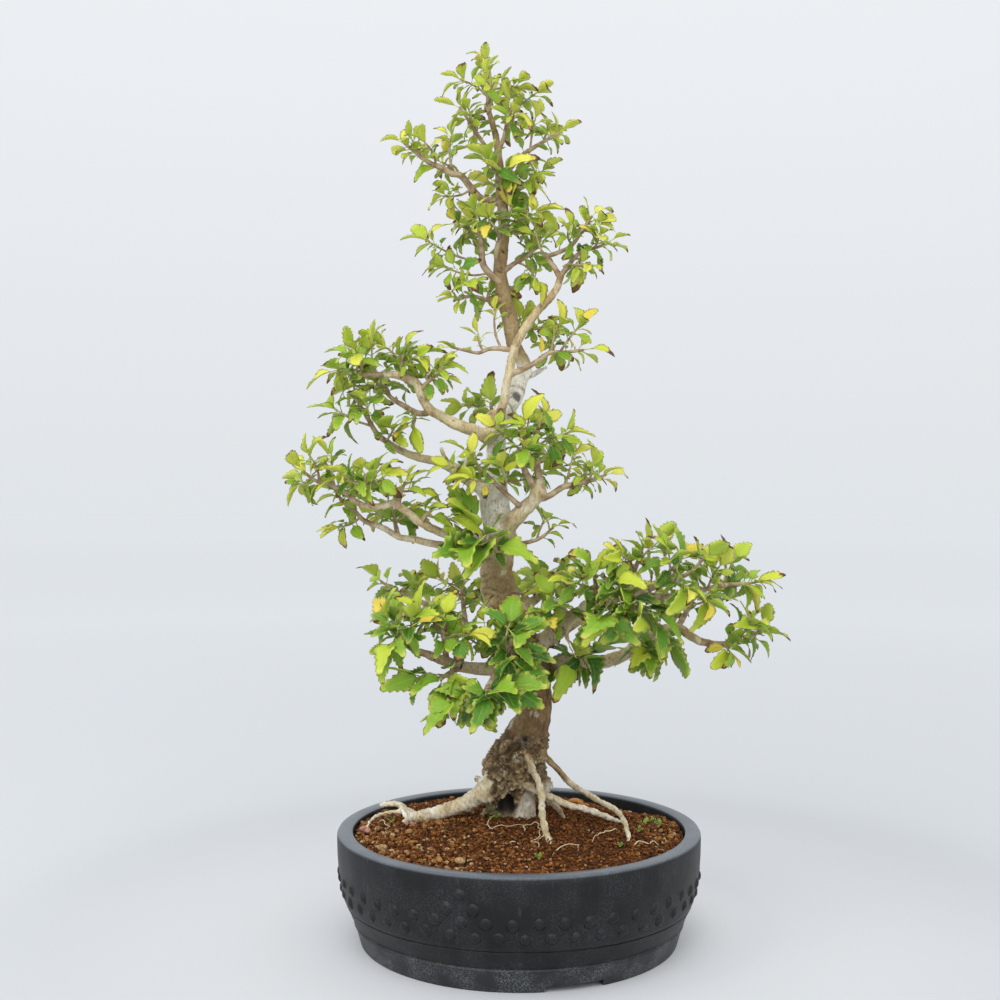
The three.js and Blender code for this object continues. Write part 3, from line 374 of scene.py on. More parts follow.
stud, stud_faces = turned(STUD_PROFILE, STUD_SIDES)
draw = np.random.default_rng(5)
studs = []
for step in range(STUDS):
    rows = STUD_HEIGHTS + (STUD_PEAK if step % (STUDS // PEAKS) == 0 else ())
    for height, wall, shift in rows:
        outward = stud[:, [0, 2, 1]] * [1, -1, 1] * draw.uniform(0.86, 1.04, 3)
        outward += [0, -wall, height] + STUD_STRAY * draw.normal(size=3) * [1, 0, 1]
        azimuth = PEAK_AZIMUTH + (step + shift) * 360 / STUDS
        studs.append((about_z(outward, azimuth), stud_faces))
points, faces = joined(studs)
pot_studs = new_piece("pot_studs", points, faces, [charcoal] * len(faces))

# The soil. Fired-clay and bark granules heaped towards the trunk and packed round the roots.
# A bed carries the heap, and loose granules, pebbles and pink and amber crumbs lie on it.
SOIL_EDGE, SOIL_CROWN, SOIL_REACH = 87, 14, 140
SOIL_ROUNDNESS, SOIL_TILT, SOIL_BUMP = 1.2, 0.012, 1.1
DIP, DIP_REACH, DIP_DEPTH = (98, 98), 45, 6.5
BED_RADIUS, BED_CORNER, BED_FLOOR = 138, 128.7, 14.6
GRANULES, GRANULE_SIZE, CRUMB_POINTS = 9200, (0.85, 2.1), 12
PEBBLES = (
    (-116, 35, 8, 0.9), (-77, -16, 8, 0.86), (-40, 3, 9, 0.97), (-22, 0, 9, 1), (-103, -40, 6, 0.98),
    (-109, -67, 9, 0.93), (-101, -76, 6, 1), (-86, -67, 8, 0.8), (-80, -74, 5, 0.98),
    (-62, -107, 7, 0.84), (-46, -114, 11, 0.93), (-69, -50, 9, 0.66), (-88, -23, 7, 0.8),
    (-44, -63, 5, 0.92), (118, -18, 8, 0.84), (110, -34, 6, 0.8), (45, -110, 5, 0.86),
    (-118, -14, 8, 0.9), (-118, 58, 8, 0.7), (-57, -85, 5, 0.97), (-47, -17, 7, 0.72),
    (10, -81, 6, 0.5), (-124, -42, 7, 0.8), (-94, -92, 5, 0.9), (-108, 12, 7, 0.85),
    (-96, 50, 7, 0.75), (92, -86, 5, 0.8), (72, -60, 5, 0.7), (30, 62, 6, 0.8), (92, 62, 6, 0.8),
    (-30, 82, 6, 0.85), (-60, 100, 7, 0.8), (60, 104, 6, 0.75), (126, 20, 6, 0.7),
    (130, -2, 9, 0.82), (124, -34, 8, 0.84), (133, 14, 8, 0.76), (112, -46, 7, 0.8), (104, -8, 7, 0.82),
    (-112, 22, 10, 0.9), (-104, 28, 8, 0.84), (-98, 20, 7, 0.8), (-120, 36, 8, 0.88), (-90, -38, 9, 0.8),
    (-78, -30, 8, 0.76), (-66, -22, 8, 0.82), (-128, 4, 7, 0.84), (-36, -48, 6, 0.86), (-70, -84, 7, 0.84),
)
PINK_CRUMBS = ((-131, -8, 10), (-126, -16, 8), (-94, -12, 8), (-89, -14, 7), (100, 62, 6))
AMBER_CRUMBS = ((51, 66, 13), (62, 70, 8), (56, 62, 9))


def ripples(points, length, seed, waves=18):
    """Even noise about 1 high: a sum of sine waves of random directions and phases, whose
    wavelengths lie round the given length."""
    draw = np.random.default_rng(seed)
    ways = draw.normal(size=(waves, 3))
    ways *= 2 * np.pi / length / np.linalg.norm(ways, axis=1, keepdims=True)
    ways *= draw.uniform(0.7, 1.4, (waves, 1))
    phases = draw.uniform(0, 2 * np.pi, waves)
    return np.sin(np.asarray(points, float) @ ways.T + phases).sum(-1) * np.sqrt(2 / waves) / 1.6


def soil_height(x, y):
    """A dome, edge + crown * (1 - out^2)^1.2, lower at the back, less depth * e^-(d / reach)^2 at
    a distance d from the dip at the back right, with bumps."""
    out = np.minimum(1, np.hypot(x, y) / SOIL_REACH)
    dome = SOIL_EDGE + SOIL_CROWN * (1 - out * out) ** SOIL_ROUNDNESS
    dip = DIP_DEPTH * np.exp(-(np.hypot(x - DIP[0], y - DIP[1]) / DIP_REACH) ** 2)
    bumps = SOIL_BUMP * np.sin(0.11 * x + 1) * np.cos(0.13 * y)
    return dome - SOIL_TILT * y * out * out - dip + bumps


def crumbs(places, sizes, draw, squash=0.75):
    """Rough lumps of twenty faces: each corner of an icosahedron goes in or out by chance, the
    lump is flattened, turned at random, and half sunk at its place."""
    golden = (1 + 5 ** 0.5) / 2
    corners = [(0, a, b * golden) for a in (-1, 1) for b in (-1, 1)]
    corners += [(a, b * golden, 0) for a in (-1, 1) for b in (-1, 1)]
    corners += [(b * golden, 0, a) for a in (-1, 1) for b in (-1, 1)]
    corners = np.array(corners) / np.hypot(1, golden)
    near = np.linalg.norm(corners[:, None] - corners, axis=-1) < 1.1
    faces = [
        (a, b, c) for a in range(12) for b in range(a + 1, 12) for c in range(b + 1, 12)
        if near[a, b] and near[b, c] and near[a, c]
    ]
    faces = np.array(faces)
    one, two, three = corners[faces].swapaxes(0, 1)
    inward = np.einsum("ij,ij->i", np.cross(two - one, three - one), one) < 0
    faces[inward] = faces[inward][:, ::-1]
    count = len(places)
    lumps = corners * draw.uniform(0.72, 1.12, (count, CRUMB_POINTS, 1))
    lumps = lumps * draw.uniform(0.7, 1.15, (count, 1, 3)) * [1, 1, squash]
    angle = draw.uniform(0, 2 * np.pi, count)[:, None]
    x, y, z = np.moveaxis(lumps, -1, 0)
    tilt = draw.uniform(-0.7, 0.7, count)[:, None]
    y, z = y * np.cos(tilt) - z * np.sin(tilt), y * np.sin(tilt) + z * np.cos(tilt)
    x, y = x * np.cos(angle) - y * np.sin(angle), x * np.sin(angle) + y * np.cos(angle)
    points = np.stack([x, y, z], -1) * sizes[:, None, None] + places[:, None]
    faces = faces + np.arange(count)[:, None, None] * CRUMB_POINTS
    return points.reshape(-1, 3), faces.reshape(-1, 3)


def painted_on(piece, name, values):
    """A number at each point of a piece, for its finish to read."""
    attribute = piece.data.attributes.new(name, "FLOAT", "POINT")
    attribute.data.foreach_set("value", np.asarray(values, np.float32))


earth = new_finish("clay_granules", 0.92, specular_ior_level=0.2)
tone = number_on(earth, "tone")
place = where_on(earth)
grit = cloud(earth, place, 700, 4)
damp = cloud(earth, place, 28, 3)
base = stops(earth, tone, [
    (0.0, paint(44, 24, 10)), (0.3, paint(102, 60, 26)), (0.6, paint(148, 94, 44)),
    (0.78, paint(172, 126, 74)), (0.9, paint(186, 158, 114)), (1.0, paint(218, 204, 174)),
])
gritty = share_between(earth, grit, 0.35, 0.6)
darker = mixed(earth, gritty, paint(150, 140, 136), paint(255, 255, 255))
base = add_node(earth, "Mix", {0: 1.0, 6: base, 7: darker}, data_type="RGBA", blend_type="MULTIPLY")
base = mixed(earth, share_between(earth, damp, 0.6, 0.75), base.outputs[2], paint(72, 44, 22))
colour_of(earth, base)
bumped(earth, (grit, 0.0004))

section = [(12, BED_FLOOR), (BED_CORNER, BED_FLOOR), (BED_RADIUS, 72), (BED_RADIUS, SOIL_EDGE)]
section += [(radius, SOIL_EDGE + 1) for radius in np.linspace(BED_RADIUS - 1, 3, 56)]
points, faces = turned(section, 160)
on_top = points[:, 2] > SOIL_EDGE - 0.5
x, y, _ = points[on_top].T
points[on_top, 2] = soil_height(x, y) + 0.8 * ripples(points[on_top] * [1, 1, 0], 5, 3) - 0.6
bed = new_piece("soil_bed", points, faces, [earth] * 3)
painted_on(bed, "tone", 0.22 + 0.12 * ripples(points, 3, 4))
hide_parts("soil")

draw = np.random.default_rng(11)
reach = (BED_RADIUS - 1.4) * np.sqrt(draw.uniform(0, 1, GRANULES))
angle = draw.uniform(0, 2 * np.pi, GRANULES)
x, y = reach * np.cos(angle), reach * np.sin(angle)
sizes = GRANULE_SIZE[0] + (GRANULE_SIZE[1] - GRANULE_SIZE[0]) * draw.beta(1.3, 2.4, GRANULES)
coarse = np.clip((-x - 0.35 * y) / 130, 0, 1) + 0.8 * np.clip((x - 78) / 50, 0, 1)
sizes *= 1 + 0.85 * coarse * draw.uniform(0.2, 1, GRANULES)
places = np.stack([x, y, soil_height(x, y) + draw.uniform(-0.4, 0.9, GRANULES)], -1)
points, faces = crumbs(places, sizes, draw)
granules = new_piece("granules", points, [faces], [earth], smooth=False)
pale = draw.uniform(0, 1, GRANULES) < 0.02 + 0.24 * coarse
tones = np.where(pale, draw.uniform(0.62, 0.94, GRANULES), draw.beta(2.4, 2.4, GRANULES) * 0.76)
painted_on(granules, "tone", np.repeat(tones, CRUMB_POINTS))


def rounded_stones(name, rows, finish, tones):
    """Crumbs as wide as their rows say, half sunk in the soil and rounded by subdivision."""
    x, y, width = np.array(rows, float).T[:3]
    places = np.stack([x, y, soil_height(x, y) + 0.28 * width], -1)
    stones, faces = crumbs(places, width * 0.55, draw, squash=0.6)
    piece = new_piece(name, stones, [faces], [finish])
    painted_on(piece, "tone", np.repeat(tones, CRUMB_POINTS))
    smoother = piece.modifiers.new("rounded", "SUBSURF")
    smoother.levels = smoother.render_levels = 2


pink_clay = new_finish("pink_clay", 0.9)
colour_of(pink_clay, paint(172, 122, 104))
amber_stone = new_finish("amber_stone", 0.6)
colour_of(amber_stone, paint(190, 124, 48))
rounded_stones("pebbles", PEBBLES, earth, np.array(PEBBLES)[:, 3] - 0.06)
rounded_stones("pink_crumbs", PINK_CRUMBS, pink_clay, np.ones(len(PINK_CRUMBS)))
rounded_stones("amber_crumbs", AMBER_CRUMBS, amber_stone, np.ones(len(AMBER_CRUMBS)))

# The wood. The trunk, its surface roots and its limbs grew as one piece: pale smooth bark above,
# wrinkled and brown under the first limbs, and knobbly burls round the foot.
TRUNK = [
    (-4, 7, 48, 16), (-4, 7, 70, 17), (-6, 6, 100, 18), (-7, 2, 122, 22), (-4, 0, 140, 24),
    (2.5, 0, 156, 20.5), (8, 0, 171, 17.2), (13, 0, 184, 14.2), (15.5, 1, 198, 11.8),
    (15, 2, 215, 11.5), (12, 1, 228, 12), (7, 0, 241, 12.5), (-1, 0, 257, 13.2), (-9, 0, 272, 14),
    (-15.4, 0, 285, 14.7), (-18.6, 0, 307, 13.8), (-16.7, 0, 326, 12.5), (-17, 0, 342, 12.6),
    (-20, 0, 360, 12.8), (-21, 0, 376, 11.6), (-19, 1, 394, 8.8), (-19, 3, 412, 8.2),
    (-17.5, 6, 430, 8.2), (-14, 8, 441, 8.4), (-6.5, 11, 450, 7.6), (-1.7, 13, 459, 7.2),
    (1, 14, 469, 6.7), (5.2, 14, 478, 6.4), (2.5, 12, 488, 6.3), (-3.5, 10, 498, 6.2),
    (-6.4, 10, 516, 6.7), (-8.5, 10, 527, 6.8), (-12, 10, 537, 6.6), (-14, 10, 548, 6.2),
    (-15.8, 10, 563, 5.9), (-14, 10, 580, 5.4), (-12.6, 10, 598, 5), (-13.4, 10, 615, 4.7),
    (-15, 10, 628, 4.6), (-15.8, 10, 643, 4.2), (-16.8, 10, 658, 3.6), (-18, 10, 670, 3.1),
    (-21, 10, 685, 2.7), (-25, 10, 698, 2.3),
]
LIMBS = {
    "right_front": [
        (5, 0, 226, 9), (17, -7, 244, 8), (30, -15, 256, 7.5), (50, -30, 272, 6.8),
        (63, -38, 281.5, 6), (80, -44, 290, 5.4), (92, -46, 292.5, 4.8), (104, -49, 294, 4.2),
    ],
    "right_back": [
        (9, 3, 216, 8), (24, 8, 223, 7.4), (42, 13, 229, 6.8), (71, 22, 227, 6.2),
        (94, 27, 234, 5.4), (108, 30, 246, 4.8), (122, 24, 254, 4.4), (137, 14, 257, 4.2),
        (146, 9, 251.5, 3.9), (155, 5, 246, 3.7),
    ],
    "left_front": [
        (2, 0, 236, 8), (-16, -30, 229, 6.2), (-42, -60, 233, 4.8), (-58, -71, 239, 4.2),
        (-72, -80, 245.5, 3.7),
    ],
    "front": [
        (6, -4, 230, 7), (-4, -34, 234, 5.4), (-13, -62, 234, 4.4), (-25, -93, 220.5, 3.5),
    ],
    "left_back": [(0, 4, 250, 7), (-16, 22, 247, 5.8), (-35, 40, 250, 5), (-70, 60, 269.5, 3.8)],
    "back": [(-3, 6, 262, 7), (2, 28, 268, 5.4), (12, 54, 276, 4.4), (30, 86, 285.5, 3.5)],
    "left_upper": [
        (-17, -2, 334, 8.5), (-34, -9, 333, 5.6), (-46, -15, 336, 4.7), (-64, -22, 340, 3.9),
        (-84, -30, 350, 3.5), (-92, -32, 357, 3.3), (-104, -35, 364.5, 3.1), (-111, -37, 362, 2.9),
        (-123.5, -40, 362, 2.8), (-135, -42, 366, 2.6),
    ],
    "left_lower": [
        (-17, 0, 328, 7), (-37, -8, 331, 4.6), (-57, -4, 328.5, 3.8), (-75, 0, 330.5, 3.3),
        (-88, 1, 333.6, 3.1), (-102.5, 2, 336, 2.9), (-113, 3, 342.5, 2.7), (-123, 4, 346, 2.6),
    ],
    "left_second": [
        (-20, 0, 366, 9.5), (-30, 0, 377, 7.8), (-44, 0, 386.5, 6.4), (-57, 0, 395, 5),
        (-67, 0, 399, 4), (-86, 0, 403.5, 3.5), (-100.5, 0, 409, 3.2), (-111, 0, 415.7, 3),
    ],
    "left_third": [
        (-18, 3, 417, 7.6), (-25, -6, 419, 6.2), (-36, -11, 424.5, 5.6), (-54, -15, 431, 4.8),
        (-64, -15, 436.5, 4.4), (-73, -15, 441.5, 4.2), (-80, -15, 450, 4), (-85, -15, 464, 3.8),
        (-94, -15, 468.5, 3.5), (-105, -15, 472, 3.3), (-114, -15, 471.4, 3),
    ],
    "right_centre": [
        (-16, -3, 334, 10), (-9, -14, 346, 8), (-1, -20, 354, 7), (6, -22, 361, 6.4),
        (13, -24, 368, 5.8), (16.5, -24, 376, 5.2), (16.5, -24, 384, 4.8),
    ],
    "leader": [
        (-18, 4, 426, 7), (-16, -8, 438, 4.6), (-12.5, -12, 450, 3.8), (-10.8, -14, 461, 3.7),
        (-8.3, -15, 472, 3.7), (-5.8, -15, 485.6, 3.8), (-2.4, -15, 497, 3.8), (7.6, -15, 514, 3.7),
        (17.6, -14, 527, 3.5), (26, -14, 535.7, 3.3), (32.6, -14, 546, 3.1), (35, -14, 556, 2.9),
    ],
}
ROOTS = {
    "right_high": [
        (16, -5, 158, 5), (22, -7, 151, 3.4), (32, -4, 141, 2.9), (43, 3, 127.5, 2.8),
        (55, 11, 118, 2.7), (71.3, 18, 107, 2.6), (83.3, 18, 100.5, 2.5), (88, 2, 97, 2.4),
        (88.4, -26, 96.3, 2.3), (88.4, -42, 94.6, 2), (88, -55, 91, 1.5),
    ],
    "right_low": [
        (-5, -14, 134, 3.4), (4, -22, 130.5, 2.7), (12.5, -26, 127, 2.6), (22, -26, 123.5, 2.7),
        (40, -24, 115, 2.8), (58, -16, 108.5, 2.7), (73, -10, 101.5, 2.5), (84, -6, 96.5, 2.2),
    ],
    "front": [
        (3, -12, 156, 2.6), (8.5, -22, 149, 2.7), (15, -31.5, 137, 2.8), (18.4, -35, 126, 3),
        (18.2, -42, 113, 3), (21, -56, 100.5, 3), (24.6, -74, 94, 3), (26.5, -88, 86, 2.4),
    ],
    "front_small": [
        (14, -22, 123, 3), (24, -20, 118, 2.6), (31, -15, 111.5, 2.5), (36, -10, 104, 2.1),
        (38, -8, 98, 1.6),
    ],
    "stump": [(3, -8, 134, 9), (3.5, -8, 124, 9.4), (5, -6, 110, 9.2), (6, -3, 90, 8.6)],
    "mossy": [(-14, -10, 117, 4), (-22, -6, 110, 3.2), (-28, -2, 104, 2.6), (-32, 1, 98, 2)],
    "left": [
        (-14, -8, 132, 13), (-27, -12, 124, 9.4), (-42, -8, 113.5, 7), (-65, 0, 103, 6.2),
        (-82, 3, 98.5, 5.6), (-92, 5, 94.5, 4.6), (-98, 8, 88, 4),
    ],
    "left_fork": [
        (-84, 5, 97, 4), (-94, 9, 101, 3), (-103, 15, 106, 2.7), (-111, 19, 105.5, 2.5),
        (-119, 22, 103.5, 2.3),
    ],
    "left_front": [
        (-100, 12, 105.5, 2), (-98, 1, 103, 1.9), (-95, -6, 99.5, 1.7), (-92.5, -11, 94, 1.5),
        (-91.5, -13, 88, 1.2),
    ],
    "left_tip": [
        (-94, 8, 100, 2.4), (-104, 8, 101.5, 1.8), (-121, 4, 98.5, 1.6), (-127, -6, 93, 1.5),
        (-130, -13, 84, 1.3),
    ],
    "back_left": [(-16, 12, 128, 10), (-34, 32, 108, 6), (-56, 58, 95, 4.4), (-72, 78, 82, 3.4)],
    "back_right": [(8, 14, 126, 9), (26, 36, 106, 5.6), (44, 60, 94, 4), (56, 78, 82, 3)],
}
BURLS = (
    (-17.5, -16, 139, 9), (0.8, -20, 144.5, 10), (-10, -13, 161, 8.6), (-18, -19, 127, 7.5),
    (-25, -8, 130, 7), (12, -9, 150, 8), (-4, -16, 156, 7), (14, 8, 134, 9), (-18, 12, 140, 11),
    (4, 18, 150, 9), (-6, 16, 122, 10), (17, -6, 122, 7.5), (-4, -24, 133, 5), (-21.5, -4, 138, 6.5),
    (18.5, -12, 132, 6), (-22, -15, 119, 5.5), (22, -8, 127, 6), (10, -16, 131, 6),
    (-9, -21, 152, 6), (4, -20, 136, 6), (22, -4, 118, 5), (-30, -12, 121, 5.5),
)
SWELLINGS = (
    (-22, 0, 331, 14), (-14, -8, 340, 12), (-22, 0, 372, 12), (12, -2, 224, 12.5), (-2, 2, 262, 14),
    (16, -23, 373, 7.5), (-22, -10, 425, 6.5), (-18, 2, 428, 9), (56, -34, 278, 7.6),
    (30, -14, 258, 8.6), (-66, 0, 399, 5), (-44, 0, 387, 7), (100, 28, 238, 6.2), (4, -2, 236, 13),
    (-21, -3, 436, 7.5),
)
FINE_ROOTS = (
    [(-1, -10), (-12, -4), (-22, -14), (-27, -32), (-25, -43), (-16, -42), (-2, -37), (6, -37)],
    [(2, -56), (6, -38), (13, -32), (16, -47), (14, -66), (10, -71), (14, -84)],
    [(26, -92), (34, -83), (45, -78), (45, -88)],
    [(92, -63), (98, -61), (104, -58), (111, -55)],
    [(-13, -78), (-6, -75), (0, -76)],
    [(16, -66), (20, -60), (22, -52)],
    [(-122, 20), (-116, 10), (-112, -4), (-106, -12)],
    [(80, -30), (74, -44), (64, -52), (58, -64)],
)
HOLLOW, HOLLOW_SIZE = (-10.5, -15, 112), (7, 13, 12)
KNOTS = (((4.9, -17, 167.6), 3.2), ((30, -23, 250), 2.6), ((-12, -25, 147), 2.2))
FOLDS = ((304.5, 1), (299, 0.7), (293, 0.8), (287.5, 1), (281.5, 0.6), (275, 0.8), (318, 0.5))
SCAR, SCAR_LONG, SCAR_HIGH = (-1.2, 454.5), 6.2, 3.6
RING_LINES = (-9, 8.5)
STUBS = (
    [(2, 13, 470, 3.2), (12, 9, 474, 2.6), (20, 7, 478, 2), (24, 6, 480, 1.8)],
    [(48, -31, 272, 2.6), (41, -39, 263, 2), (38, -42, 256, 1.5), (38, -43, 253, 1.1)],
    [(39, -42, 257, 1.4), (41, -44, 248, 1.1), (46, -45, 239, 0.9)],
    [(-46, -62, 234, 2.2), (-57, -66, 228, 1.6), (-69, -68, 229, 1.1)],
    [(-24, -92, 221, 2.4), (-15, -98, 214, 1.7), (0, -100, 215, 1.4), (9, -100, 219, 1.1)],
    [(-60, 0, 397, 3), (-63, -7, 404, 2.2), (-65, -10, 411, 1.6)],
    [(-44, 0, 388, 4), (-46, 2, 400, 2.6), (-45, 3, 405, 2.2)],
    [(112, 28, 249, 2.8), (116, 30, 260, 2), (117, 31, 266, 1.6)],
    [(-16, 10, 540, 3), (-8, 12, 546, 2.2), (-4, 13, 550, 1.7)],
    [(-25, -8, 123, 3.6), (-31, -8, 129, 2.8), (-35, -8, 133, 2.3)],
)
BARK_VOXEL = 1.25


def even_path(points, spacing):
    """A centripetal Catmull-Rom curve through (x, y, z, radius), at even steps of its length.
    Each span is the cubic 2s^3-3s^2+1, s^3-2s^2+s, -2s^3+3s^2, s^3-s^2 of its two ends and their
    slopes, whose knots are the square roots of the chords."""
    points = np.array(points, float)
    ends = np.vstack([2 * points[0] - points[1], points, 2 * points[-1] - points[-2]])
    ends[[0, -1], 3] = points[[0, -1], 3]
    knots = np.sqrt(np.linalg.norm(np.diff(ends[:, :3], axis=0), axis=1))
    before, span, after = (knots[k:len(knots) - 2 + k, None, None] for k in range(3))
    p0, p1, p2, p3 = (ends[k:len(ends) - 3 + k, None] for k in range(4))
    leave = ((p1 - p0) / before - (p2 - p0) / (before + span) + (p2 - p1) / span) * span
    reach = ((p2 - p1) / span - (p3 - p1) / (span + after) + (p3 - p2) / after) * span
    s = np.linspace(0, 1, 16, endpoint=False)[None, :, None]
    curve = (2 * s**3 - 3 * s**2 + 1) * p1 + (s**3 - 2 * s**2 + s) * leave
    curve = curve + (3 * s**2 - 2 * s**3) * p2 + (s**3 - s**2) * reach
    curve = np.vstack([curve.reshape(-1, 4), points[-1]])
    steps = np.linalg.norm(np.diff(curve[:, :3], axis=0), axis=1)
    length = np.concatenate([[0], np.cumsum(steps)])
    count = max(2, int(round(length[-1] / spacing)) + 1)
    share = np.linspace(0, length[-1], count)
    return np.stack([np.interp(share, length, column) for column in curve.T], -1)


def ways_across(path):
    """Two directions square to a path at each point: side = t x k, over = t x side, where k is
    the axis that the path keeps furthest from."""
    tangent = np.gradient(path[:, :3], axis=0)
    tangent /= np.linalg.norm(tangent, axis=1, keepdims=True)
    axis = np.eye(3)[np.abs(tangent).max(axis=0).argmin()]
    side = np.cross(tangent, axis)
    side /= np.linalg.norm(side, axis=1, keepdims=True)
    return tangent, side, np.cross(tangent, side)


def tube(path, sides, swell=0):
    """A closed tube along a path: middle + radius * (1 + swell) * (side cos a + over sin a), with
    each end closed by a fan to one point half a radius beyond it."""
    tangent, side, over = ways_across(path)
    radius = path[:, 3] * (1 + swell)
    angle = np.linspace(0, 2 * np.pi, sides, endpoint=False)[None, :, None]
    ring = side[:, None] * np.cos(angle) + over[:, None] * np.sin(angle)
    rings = path[:, None, :3] + radius[:, None, None] * ring
    ends = path[[0, -1], :3] + tangent[[0, -1]] * radius[[0, -1], None] * [[-0.5], [0.5]]
    points = np.vstack([rings.reshape(-1, 3), ends])
    here = np.arange(sides)
    after = (here + 1) % sides
    last = (len(path) - 1) * sides
    start_fan = np.stack([after, here, np.full(sides, last + sides)], -1)
    end_fan = np.stack([last + here, last + after, np.full(sides, last + sides + 1)], -1)
    return points, [grid_faces(len(path), sides), start_fan, end_fan]


def ball(centre, size, rings=9, sides=16):
    """A ball or an egg: x = a sin u cos v, y = b sin u sin v, z = c cos u."""
    turn = np.linspace(np.pi, 0, rings + 2)[1:-1]
    points, faces = turned(np.stack([np.sin(turn), np.cos(turn)], -1), sides)
    return points * size + centre, faces


parts = []
for paths, spacing, sides in (
    ([TRUNK], 4, 40), (LIMBS.values(), 3, 18), (ROOTS.values(), 3, 14), (STUBS, 2, 12),
):
    parts += [tube(even_path(path, spacing), sides) for path in paths]
parts += [ball((x, y, z), size) for x, y, z, size in BURLS + SWELLINGS]
points, faces = joined(parts)
bark = new_finish("bark", 0.85)
rough = new_piece("rough_wood", points, faces, [bark] * len(faces))
fusing = rough.modifiers.new("fused", "REMESH")
fusing.mode = "VOXEL"
fusing.voxel_size = BARK_VOXEL / 1000
easing = rough.modifiers.new("eased", "SMOOTH")
easing.factor = 0.5
easing.iterations = 4
fused = bpy.data.meshes.new_from_object(rough.evaluated_get(bpy.context.evaluated_depsgraph_get()))
bpy.data.objects.remove(rough)


def numbers_of(sequence, name, width):
    """A property of every item of a mesh's list, as an array."""
    values = np.empty(len(sequence) * width)
    sequence.foreach_get(name, values)
    return values.reshape(-1, width)


def eased(value, low, high):
    """0 up to low, 1 from high, and 3s^2 - 2s^3 between them."""
    s = np.clip((value - low) / (high - low), 0, 1)
    return s * s * (3 - 2 * s)


def near_to(points, centre, radius):
    """1 at a centre, falling to 0 at a radius from it."""
    return 1 - eased(np.linalg.norm(points - np.array(centre), axis=1), 0.55 * radius, radius)


points = (numbers_of(fused.vertices, "co", 3) - POT_AXIS) * 1000
normals = numbers_of(fused.vertex_normals, "vector", 3)
quads = numbers_of(fused.loops, "vertex_index", 1).astype(int).reshape(-1, 4)
bpy.data.meshes.remove(fused)

trunk_x, trunk_y, trunk_z, trunk_radius = np.array(TRUNK).T
x, y, z = points.T
away = np.hypot(x - np.interp(z, trunk_z, trunk_x), y - np.interp(z, trunk_z, trunk_y))
away /= np.interp(z, trunk_z, trunk_radius)
on_trunk = 1 - eased(away, 1.25, 1.7)
at_foot = (1 - eased(z, 160, 182)) * (1 - eased(away, 1.6, 2.1)) * eased(z, 96, 112)
low = np.flatnonzero(z < 165)
off_root = np.full(len(low), 99.0)
for root in ROOTS.values():
    for middle in even_path(root, 2.5)[2:]:
        off_root = np.minimum(off_root, np.linalg.norm(points[low] - middle[:3], axis=1) - middle[3])
on_root = np.zeros(len(points))
on_root[low] = 1 - eased(off_root, 0.8, 2.4)
at_foot *= 1 - on_root
bare_root = near_to(points, (-98, 0, 102), 12) * on_root
mossy = near_to(points, (-25, -8, 112), 16)
long_grain = points * [1, 1, 0.22]
knobs = 1 - 2 * np.abs(ripples(points, 15, 21))
curls = 1 - 2 * np.abs(ripples(points + 4 * knobs[:, None], 7, 22))
fissures = 1 - 2 * np.abs(ripples(long_grain, 4.2, 23))
wavy = 1.8 * ripples(points, 22, 24) + 0.5 * ripples(points, 6, 29)
partly = eased(ripples(points * [1, 1, 1.8], 26, 30), -0.5, 0.5)
folded = sum(depth * np.exp(-(((z + wavy - fold) / 0.8) ** 2)) for fold, depth in FOLDS)
folded *= on_trunk * (0.25 + 0.75 * partly)
pores = eased(ripples(points, 3.4, 31), 1.05, 1.5) * eased(ripples(points, 20, 32), -0.2, 0.6)
brown_trunk = on_trunk * eased(z, 165, 185) * (1 - eased(z, 330, 350))
fine = ripples(points, 2.6, 25)
creases = 1 - 2 * np.abs(ripples(points + 2 * curls[:, None], 3.6, 35))
lift = at_foot * (1.6 * knobs + 1.5 * curls + 0.9 * creases)
lift += brown_trunk * (0.45 * fissures + 0.9 * ripples(points, 13, 26))
lift -= 0.75 * folded + 0.5 * pores
lift += 0.16 * fine + 0.22 * ripples(points, 9, 27)
rings = np.sin(1.1 * (x + z) + 1.6 * ripples(points, 12, 33))
lift += on_root * (0.28 * rings + 0.3 * ripples(points, 6, 34))
for place, radius in KNOTS:
    lift += 1.6 * near_to(points, place, 2 * radius) - 4.2 * near_to(points, place, 1.25 * radius)
along_scar = 0.68 * (x - SCAR[0]) - 0.73 * (z - SCAR[1])
over_scar = 0.73 * (x - SCAR[0]) + 0.68 * (z - SCAR[1])
from_scar = np.hypot(along_scar / SCAR_LONG, over_scar / SCAR_HIGH)
scar = (1 - eased(from_scar, 0.7, 1)) * (y < 8)
scar_lip = np.exp(-(((from_scar - 1.15) / 0.16) ** 2)) * (y < 8)
lift += 0.7 * scar_lip - 1.1 * scar
along_bend = over_scar + 0.05 * along_scar**2
ringed = sum(np.exp(-(((along_bend - place) / 0.9) ** 2)) for place in RING_LINES)
ringed *= on_trunk * eased(z, 436, 442) * (1 - eased(z, 472, 478))
lift -= 0.5 * ringed
points = points + normals * lift[:, None]
inside = (points - HOLLOW) / HOLLOW_SIZE
within = (inside**2).sum(1) < 1
depth = np.sqrt(np.clip(1 - inside[:, 0] ** 2 - inside[:, 2] ** 2, 0, 1))
points[within, 1] = HOLLOW[1] + HOLLOW_SIZE[1] * depth[within]
# Painted shade: the hollow at the foot and, below, the knot holes are painted near black, as the shade
# inside them.
hollow_shade = near_to(points, (HOLLOW[0], HOLLOW[1] + 5, HOLLOW[2]), 12.5)
wood = new_piece("wood", points, [quads], [bark])

ridges = np.minimum(np.minimum(knobs, curls), creases)
